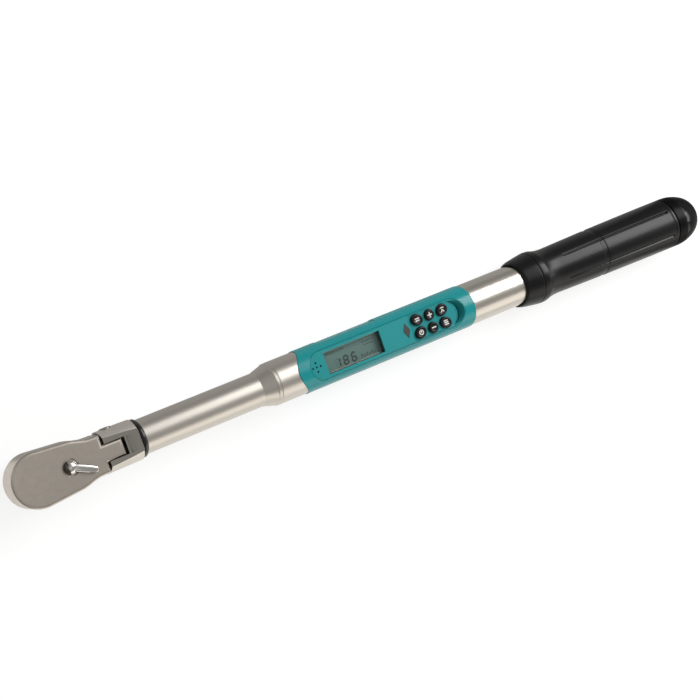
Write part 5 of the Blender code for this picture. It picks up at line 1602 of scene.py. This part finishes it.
@dataclass
class Keypad:
    """Six keys in two rows; the outer four lean away from the middle of the group."""

    columns: tuple[float, float, float] = (338.0, 350.5, 363.0)
    row: float = 5.45
    long: float = 5.5
    short: float = 4.6
    lean: float = math.radians(24.0)
    keys: list[Key] = field(default_factory=list)

    def __post_init__(self) -> None:
        """Places the keys."""
        layout = ((Legend.UNIT, 0, 1), (Legend.PLUS, 1, 1), (Legend.PEAK, 2, 1),
                  (Legend.POWER, 0, -1), (Legend.MINUS, 1, -1), (Legend.MODE, 2, -1))
        for legend, column, side in layout:
            x, y = self.columns[column], self.row * side
            if column == 1:
                self.keys.append(Key(legend, x, y, self.short - 0.1, self.short, 0.0))
            else:
                lean = self.lean * side * (1 if column == 2 else -1)
                self.keys.append(Key(legend, x, y, self.long, self.short, lean))

    def build(self) -> None:
        """Builds every key."""
        for key in self.keys:
            key.build()


@dataclass
class Screen:
    """Liquid-crystal display behind its window, with plain figures."""

    glass_top: float = 8.5
    ink: float = 0.03
    figures: str = "186"
    height: float = 8.4
    width: float = 5.3
    pitch: float = 7.6
    stroke: float = 1.6
    start: Flat = (258.3, -7.9)
    marks: Flat = (257.6, -7.3)
    slant: float = 0.10
    gap: float = 0.03
    rows: tuple[tuple[str, int, float, float, float, float, Flat], ...] = (
        ("unit_mark", 6, 25.4, 2.4, 0.2, 1.5, (3.0, 2.2)), ("mode_mark", 5, 29.0, 2.4, 11.2, 1.9, (1.2, 1.2)),
        ("lower_mode_mark", 4, 30.5, 2.4, 8.9, 1.9, (1.2, 1.2)),
        ("peak_mark", 10, -5.2, 1.8, 12.4, 1.2, (1.7, 1.7)))

    SEGMENTS = {"0": "abcdef", "1": "bc", "2": "abged", "3": "abgcd", "4": "fgbc", "5": "afgcd",
                "6": "afgedc", "7": "abc", "8": "abcdefg", "9": "abcdfg"}

    def bar(self, letter: str, x: float, y: float) -> list[Flat]:
        """Outline of one of a figure's seven bars.

        Args:
            letter: Which bar, a to g.
            x: Left of the figure.
            y: Foot of the figure.

        Returns:
            The bar's points, leaning as the figure does.
        """
        half, gap = 0.5 * self.stroke, self.gap
        ends = {"a": ((0, 2), (1, 2)), "b": ((1, 2), (1, 1)), "c": ((1, 1), (1, 0)), "d": ((0, 0), (1, 0)),
                "e": ((0, 1), (0, 0)), "f": ((0, 2), (0, 1)), "g": ((0, 1), (1, 1))}[letter]
        wide, tall = self.width - self.stroke, 0.5 * (self.height - self.stroke)
        points = [Vector((half + u * wide, half + v * tall)) for u, v in ends]
        run = (points[1] - points[0]).normalized()
        side = Vector((-run.y, run.x)) * half
        first, last = points[0] + run * gap, points[1] - run * gap
        shape = [first, first + run * half - side, last - run * half - side, last,
                 last - run * half + side, first + run * half + side]
        return [(x + p.x + self.slant * p.y, y + p.y) for p in shape]

    def figure(self, sign: str, index: int, x: float, y: float) -> None:
        """Builds one figure of bars that are on, and the faint ones that are off.

        Args:
            sign: The figure.
            index: Its number, for the names.
            x: Left of the figure.
            y: Foot of the figure.
        """
        for letter in "abcdefg":
            finish = LCD_SEGMENT if letter in self.SEGMENTS[sign] else LCD_GHOST
            self.draw("figure_%d_bar_%s" % (index, letter), self.bar(letter, x, y), finish)

    def draw(self, name: str, outline: Sequence[Flat], finish: Finish) -> None:
        """Puts one flat sign on the crystal.

        Args:
            name: Name of the piece.
            outline: Its outline.
            finish: Its finish.
        """
        install(slab(name, outline, self.glass_top, self.glass_top + self.ink), "handle", finish)

    def mark(self, name: str, x: float, y: float, width: float, height: float) -> None:
        """Builds one small bar of the display's plain scale marks.

        Args:
            name: Name of the piece.
            x: Left of the mark.
            y: Foot of the mark.
            width: Its width.
            height: Its height.
        """
        outline = [(x, y), (x + width, y), (x + width + self.slant * height, y + height),
                   (x + self.slant * height, y + height)]
        self.draw(name, outline, LCD_PRINT)

    def build(self) -> None:
        """Builds the figures and marks and dresses the display's parts."""
        x, y = self.start
        for index, sign in enumerate(self.figures):
            self.figure(sign, index + 1, x + self.pitch * index, y)
        x, y = self.marks
        for name, count, dx, step, dy, width, heights in self.rows:
            for k in range(count):
                self.mark("%s_%d" % (name, k + 1), x + dx + step * k, y + dy, width, heights[k % 2])
        dress(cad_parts["lcd_glass"], LCD_FIELD)
        dress(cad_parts["lcd_frame"], BRIGHT_FRAME)
        dress(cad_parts["display_lens"], CLEAR_ACRYLIC)


@dataclass
class Grip:
    """Grip sleeve: beaked mouth, bead, six long grooves and a shallow band."""

    side_x: float = 442.0
    top_x: float = 446.5
    bore: float = 17.8
    end: float = 615.9
    groove_x: Flat = (491.0, 610.0)
    groove_half: float = 1.5
    groove_depth: Flat = (0.62, 1.34)
    grooves: int = 6
    neck_x: float = 490.0
    pitch: float = 6.0
    collar_end: float = 448.5
    lip_radius: float = 18.6
    collar_slope: float = 1.9 / 6.5
    inner_lip: tuple[Flat, ...] = ((9.0, 0.0), (0.8, 0.0), (0.2, 0.08), (0.0, 0.3))
    outer_lip: tuple[Flat, ...] = ((0.05, -0.22), (0.35, 0.02))
    mean_radius: float = 21.0
    between: tuple[float, ...] = (-0.34, -0.26, -0.18, -0.09, 0.0, 0.09, 0.18, 0.26, 0.34)
    profile: tuple[Flat, ...] = (
        (448.5, 20.5), (452.0, 21.05), (456.0, 21.65), (459.5, 22.15), (461.8, 22.45), (462.1, 22.42),
        (462.35, 22.2), (462.7, 22.15), (463.0, 22.3), (463.3, 22.55), (464.2, 22.7), (466.0, 22.75),
        (468.0, 22.68), (469.2, 22.55), (470.2, 22.3), (471.3, 21.95), (472.8, 21.52), (474.4, 21.15),
        (476.4, 20.82), (478.8, 20.5), (481.0, 20.32), (484.0, 20.2), (487.5, 20.25), (530.75, 21.15),
        (531.05, 21.1), (531.3, 20.86), (531.7, 20.82), (535.2, 20.9), (535.6, 20.96), (535.85, 21.2),
        (536.15, 21.28), (590.0, 21.85), (611.2, 21.97), (611.5, 21.9), (611.8, 21.62),
        (612.3, 21.6), (612.7, 21.86), (613.1, 21.97), (614.4, 21.97), (615.2, 21.9), (615.7, 21.6),
        (615.9, 21.2))

    def mouth(self, angle: float) -> float:
        """Station of the mouth at an angle from the +Y side."""
        rise = 1.0 - (1.0 - abs(math.sin(angle))) ** 2.2
        return self.side_x + (self.top_x - self.side_x) * rise

    def cone(self, station: float) -> float:
        """Radius of the collar near the mouth."""
        return self.lip_radius + (station - self.side_x) * self.collar_slope

    def radius(self, station: float) -> float:
        """Radius of the smooth grip at a station.

        Args:
            station: Station along the tool.

        Returns:
            The radius.
        """
        for (x0, r0), (x1, r1) in zip(self.profile[:-1], self.profile[1:]):
            if x0 <= station <= x1:
                return r0 + (r1 - r0) * (station - x0) / (x1 - x0)
        return self.profile[-1][1]

    def groove(self, station: float, angle: float) -> float:
        """Depth of the nearest groove at a point of the grip.

        Args:
            station: Station along the tool.
            angle: Angle from the +Y side.

        Returns:
            How far the surface sinks, in millimetres.
        """
        start, end = self.groove_x
        sector = TAU / self.grooves
        nearest = round(angle / sector) * sector
        across = (angle - nearest) * self.radius(station)
        inner = min(max(station, start + self.groove_half), end - self.groove_half)
        distance = math.hypot(across, station - inner)
        if distance >= self.groove_half:
            return 0.0
        share = (self.groove_half - distance) / self.groove_half
        depth = self.groove_depth[0] + (self.groove_depth[1] - self.groove_depth[0]) * (
            (station - start) / (end - start))
        return depth * share * share * (3.0 - 2.0 * share)

    def stations(self) -> list[float]:
        """Stations behind the collar, close together at the grooves' ends."""
        start, end = self.groove_x
        found = {x for x, _ in self.profile}
        for edge in (start, end):
            found |= {edge + 0.22 * k for k in range(-7, 8)}
        found |= {self.neck_x + self.pitch * k for k in range(int((end - self.neck_x) / self.pitch))}
        kept: list[float] = []
        for x in sorted(found):
            if not kept or x - kept[-1] > 0.08:
                kept.append(x)
        return kept

    def angles(self) -> list[float]:
        """Angles around the grip, close together at the grooves."""
        found = []
        near = [-2.0, *(0.2 * k for k in range(-8, 9)), 2.0]
        for k in range(self.grooves):
            found += [TAU * k / self.grooves + value / self.mean_radius for value in near]
            found += [TAU * (k + 0.5 + share) / self.grooves for share in self.between]
        return sorted(value % TAU for value in found)

    def build(self) -> None:
        """Builds and installs the grip sleeve."""
        rows = []
        stations = self.stations()
        for angle in self.angles():
            lip = self.mouth(angle)
            rim = self.cone(lip)
            section = [(lip + along, self.bore + out) for along, out in self.inner_lip]
            section += [(lip + along, rim + out) for along, out in self.outer_lip]
            cones = [lip + (self.collar_end - lip) * share for share in (0.3, 0.6, 0.85)]
            section += [(x, self.cone(x)) for x in cones]
            section += [(x, self.radius(x) - self.groove(x, angle)) for x in stations]
            section += [(self.end, self.bore)]
            rows.append([(x, r * math.cos(angle), r * math.sin(angle)) for x, r in section])
        install(loft("grip", rows, closed=True), "handle", GRIP_RUBBER, ["grip_sleeve"], 42.0)


@dataclass
class EndCap:
    """Threaded battery cap with its seal and contact spring."""

    face: float = 616.2
    spigot: float = 13.2
    spigot_start: float = 600.5
    groove: tuple[float, float, float] = (606.0, 608.4, 11.6)
    shoulder: Flat = (612.6, 17.4)
    rim: Flat = (626.4, 21.95)
    dome: tuple[tuple[float, float, float], ...] = (
        (633.0, 20.2, 0.3), (640.6, 17.3, 4.6), (647.6, 10.4, 5.4))
    end: float = 648.8
    hollow: Flat = (618.0, 10.0)
    seal_x: float = 607.2
    seal_section: float = 0.62
    cell_end: float = 585.4

    def profile(self) -> list[Flat]:
        """Section of the cap from the spigot's mouth round the dome and back."""
        start, stop, root = self.groove
        (foot, shoulder), (rim_x, rim), (floor, hollow) = self.shoulder, self.rim, self.hollow
        return rounded_profile([
            (self.spigot_start, hollow, 0.0), (self.spigot_start, self.spigot, 0.6),
            (start, self.spigot, 0.0), (start, root, 0.0), (stop, root, 0.0), (stop, self.spigot, 0.0),
            (foot, self.spigot, 0.0), (foot, shoulder, 0.3), (self.face, shoulder, 0.0),
            (self.face, rim, 0.8), (rim_x, rim, 4.5), *self.dome, (self.end, 0.0, 0.0),
            (floor, 0.0, 0.0), (floor, hollow, 0.0)])

    def build(self) -> None:
        """Builds and installs the cap, the seal and the spring."""
        cap = turned("battery_cap", self.profile(), 192)
        install(cap, "cap", CAP_ABS, ["end_cap"], 30.0)
        gloss_x = self.dome[0][0] - 7.0
        accent(cap, DOME_ABS, lambda middle, normal: middle.x > gloss_x and normal.x > 0.08)
        ring = circle(self.seal_section, 24, self.seal_x, self.spigot - 0.55)
        install(turned("cap_ring", ring, 128), "cap_seal", NITRILE, ["cap_seal"], 80.0)
        spring = coil("cell_spring", (self.cell_end + 0.4, 0.0, 0.0), (1.0, 0.0, 0.0),
                      self.hollow[0] - self.cell_end - 1.2, (3.6, 8.8), 0.45, 4.0)
        install(spring, "cap", SPRING_WIRE, ["contact_spring"], 80.0)


@dataclass
class Internals:
    """Hidden pieces that keep their frame shapes and get their real finishes."""

    finishes: tuple[tuple[Finish, tuple[str, ...]], ...] = (
        (TURNED_STEEL, ("pawl", "flex_plunger", "torque_beam")), (POLISHED_CHROME, ("lever_ball",)),
        (SPRING_WIRE, ("lever_ball_spring", "drive_ball_spring", "flex_spring")),
        (GAUGE_FOIL, ("strain_gauge_1", "strain_gauge_2", "strain_gauge_3", "strain_gauge_4")),
        (SOLDER_MASK, ("circuit_board",)), (BLACK_ABS, ("buzzer", "electronics_tray", "battery_holder")),
        (CONTACT_BRASS, ("contact_plate",)), (CELL_SLEEVE, ("cell_1", "cell_2", "cell_3")))

    def build(self) -> None:
        """Dresses the hidden pieces."""
        for finish, nodes in self.finishes:
            for node in nodes:
                dress(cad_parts[node], finish)
                log.info("%s: %s", node, finish.name)


@dataclass(frozen=True)
class SoftBox:
    """Soft light: a lit rectangle that the camera does not see. Metres and watts."""

    name: str
    at: Point
    towards: Point
    size: Flat
    power: float
    colour: str = "#ffffff"

    def build(self) -> None:
        """Hangs the light with its first side along the tool."""
        lamp = bpy.data.lights.new(self.name, "AREA")
        lamp.shape = "RECTANGLE"
        lamp.size, lamp.size_y = self.size
        lamp.energy = self.power
        lamp.color = linear(self.colour)[:3]
        item = bpy.data.objects.new(self.name, lamp)
        bpy.context.scene.collection.objects.link(item)
        facing = (Vector(self.at) - Vector(self.towards)).normalized()
        across = Vector((1.0, 0.0, 0.0))
        across = (across - facing * across.dot(facing)).normalized()
        rise = facing.cross(across)
        item.matrix_world = Matrix.Translation(self.at) @ Matrix((across, rise, facing)).transposed().to_4x4()
        item.visible_camera = False


@dataclass
class Studio:
    """Pale floor under the tool, soft lights and the camera. Metres and watts."""

    floor_size: float = 6.0
    floor_drop: float = 0.0001
    floor_slope: float = 0.01126
    paper: tuple[str, str] = ("#ececec", "#efefef")
    camera_glow: float = 1.22
    camera_share: float = 0.65
    # Painted reflection in the paper: glow strengths for gloss rays, and the edges where a painted shade dims
    # it under and behind the tool.
    mirror_glow: Flat = (0.98, 0.44)
    mirror_edges: tuple[tuple[int, float], ...] = ((0, -0.016), (1, -0.024))
    mirror_blend: float = 0.012
    rear_edge: Flat = (0.628, 0.645)
    rear_glow: float = 0.3
    overhead: tuple[tuple[str, float, float, float], ...] = (
        ("overhead_head", 0.53, 0.78, 0.60), ("overhead_left", 0.78, 1.20, 0.70),
        ("overhead_middle", 1.20, 1.55, 2.4), ("overhead_right", 1.55, 3.00, 8.0))
    overhead_place: Flat = (0.885, 1.70)
    overhead_aim: Flat = (0.449, 0.03)
    overhead_depth: float = 1.58
    boxes: tuple[SoftBox, ...] = (
        SoftBox("left_spot", (-0.95, 0.60, 1.25), (0.025, 0.0, 0.04), (0.7, 1.3), 1.6),
        SoftBox("head_card", (0.03, -0.05, 0.50), (0.0, 0.0, 0.04), (0.16, 0.26), 0.04),
        SoftBox("cap_card", (1.47, -0.05, 0.60), (0.635, 0.0, 0.05), (0.18, 0.60), 1.5),
        SoftBox("near_box", (1.0, -1.7, 0.75), (0.35, 0.0, 0.03), (3.2, 1.3), 14.4, "#fffaf3"))
    room: float = 0.31
    lens: float = 90.0
    sensor: float = 36.0
    right: Point = (0.826794, -0.328184, 0.456843)
    up: Point = (0.336344, 0.939414, 0.066136)
    back: Point = (-0.45087, 0.09898, 0.88709)
    eye: Point = (-0.35415, 0.14048, 1.27557)

    def floor(self) -> None:
        """Lays a white sheet that touches the drive and the grip's rear end."""
        half = 0.5 * self.floor_size
        build = bmesh.new()
        corners = ((-half, -half), (half, -half), (half, half), (-half, half))
        build.faces.new([build.verts.new((x, y, x * self.floor_slope - self.floor_drop)) for x, y in corners])
        sheet = link_mesh("paper_floor", build)
        sheet.data.materials.append(self.paper_material())

    def paper_material(self) -> bpy.types.Material:
        """Matt paper that the camera sees nearly white, with a painted reflection that glows for gloss rays
        and a painted shade in it under and behind the tool.
        """
        made = bpy.data.materials.new("white_paper_sweep")
        made.use_nodes = True
        tree = made.node_tree
        tree.nodes.clear()
        place = add_node(tree, "ShaderNodeTexCoord").outputs["Object"]
        path = add_node(tree, "ShaderNodeLightPath")
        tone = add_node(tree, "ShaderNodeTexNoise", {"Scale": 3.0, "Detail": 2.0}, {"Vector": place})
        mix = add_node(tree, "ShaderNodeMix",
                       {"data_type": "RGBA", 6: linear(self.paper[0]), 7: linear(self.paper[1])},
                       {0: tone.outputs["Fac"]})
        matt = add_node(tree, "ShaderNodeBsdfDiffuse", None, {"Color": mix.outputs[2]})
        glow = add_node(tree, "ShaderNodeEmission",
                        {"Color": linear("#ffffff"), "Strength": self.camera_glow})
        share = add_node(tree, "ShaderNodeMath", {"operation": "MULTIPLY", 1: self.camera_share},
                         {0: path.outputs["Is Camera Ray"]})
        seen = add_node(tree, "ShaderNodeMixShader", None,
                        {0: share.outputs[0], 1: matt.outputs[0], 2: glow.outputs[0]})
        # Painted reflection: gloss rays see the paper glow, dimmed under and behind the tool as painted
        # shade.
        level = self.painted_reflection_level(tree, place)
        painted_reflection = add_node(tree, "ShaderNodeEmission", {"Color": linear("#fdfcf9")}, {"Strength": level})
        blend = add_node(tree, "ShaderNodeMixShader", None,
                         {0: path.outputs["Is Glossy Ray"], 1: seen.outputs[0], 2: painted_reflection.outputs[0]})
        add_node(tree, "ShaderNodeOutputMaterial", None, {"Surface": blend.outputs[0]})
        return made

    def painted_reflection_level(self, tree: bpy.types.NodeTree, place: bpy.types.NodeSocket) -> bpy.types.NodeSocket:
        """Strength of the painted reflection that gloss sees in the paper: full beside the nose, lower under
        and behind the tool as a painted shade.

        Args:
            tree: The paper's node tree.
            place: Object coordinates in metres.

        Returns:
            The strength socket.
        """
        parts = add_node(tree, "ShaderNodeSeparateXYZ", None, {0: place})
        clear = [add_node(tree, "ShaderNodeMapRange",
                          {"interpolation_type": "SMOOTHSTEP", "From Min": low,
                           "From Max": low + self.mirror_blend, "To Min": self.mirror_glow[0],
                           "To Max": self.mirror_glow[1]}, {"Value": parts.outputs[axis]})
                 for axis, low in self.mirror_edges]
        fade = add_node(tree, "ShaderNodeMath", {"operation": "MAXIMUM"},
                        {index: item.outputs["Result"] for index, item in enumerate(clear)})
        rear = add_node(tree, "ShaderNodeMapRange",
                        {"interpolation_type": "SMOOTHSTEP", "From Min": self.rear_edge[0],
                         "From Max": self.rear_edge[1], "To Min": 1.0, "To Max": self.rear_glow},
                        {"Value": parts.outputs[0]})
        level = add_node(tree, "ShaderNodeMath", {"operation": "MULTIPLY"},
                         {0: fade.outputs[0], 1: rear.outputs["Result"]})
        return level.outputs[0]

    def sky(self) -> None:
        """Even grey room that the camera sees as white."""
        world = bpy.data.worlds.new("studio_room")
        bpy.context.scene.world = world
        world.use_nodes = True
        tree = world.node_tree
        tree.nodes.clear()
        path = add_node(tree, "ShaderNodeLightPath")
        room = add_node(tree, "ShaderNodeBackground", {"Color": linear("#fbfaf7"), "Strength": self.room})
        white = add_node(tree, "ShaderNodeBackground", {"Color": linear("#ffffff"), "Strength": 1.0})
        mix = add_node(tree, "ShaderNodeMixShader", None,
                       {0: path.outputs["Is Camera Ray"], 1: room.outputs[0], 2: white.outputs[0]})
        add_node(tree, "ShaderNodeOutputWorld", None, {"Surface": mix.outputs[0]})

    def camera(self) -> None:
        """Places the camera at the photograph's viewpoint."""
        data = bpy.data.cameras.new("view")
        data.lens, data.sensor_width = self.lens, self.sensor
        data.clip_start, data.clip_end = 0.05, 20.0
        item = bpy.data.objects.new("view", data)
        bpy.context.scene.collection.objects.link(item)
        turn = Matrix((self.right, self.up, self.back)).transposed().to_4x4()
        item.matrix_world = Matrix.Translation(self.eye) @ turn
        bpy.context.scene.camera = item

    def build(self) -> None:
        """Builds the whole studio."""
        self.floor()
        self.sky()
        (y, z), (aim_y, aim_z), depth = self.overhead_place, self.overhead_aim, self.overhead_depth
        for name, start, end, level in self.overhead:
            middle, width = 0.5 * (start + end), end - start
            SoftBox(name, (middle, y, z), (middle, aim_y, aim_z), (width, depth),
                    level * math.pi * width * depth).build()
        for box in self.boxes:
            box.build()
        self.camera()
        bpy.context.scene.view_settings.view_transform = "Standard"


def main() -> None:
    """Builds the studio and every sub-assembly."""
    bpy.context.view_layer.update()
    Studio().build()
    housing, keypad = DisplayHousing(), Keypad()
    RatchetHead().build()
    DirectionLever().build()
    SquareDrive().build()
    FlexFork().build()
    Tube().build(housing)
    housing.build()
    Panel().build(keypad)
    keypad.build()
    Screen().build()
    Grip().build()
    EndCap().build()
    Internals().build()


if __name__ == "__main__":
    main()
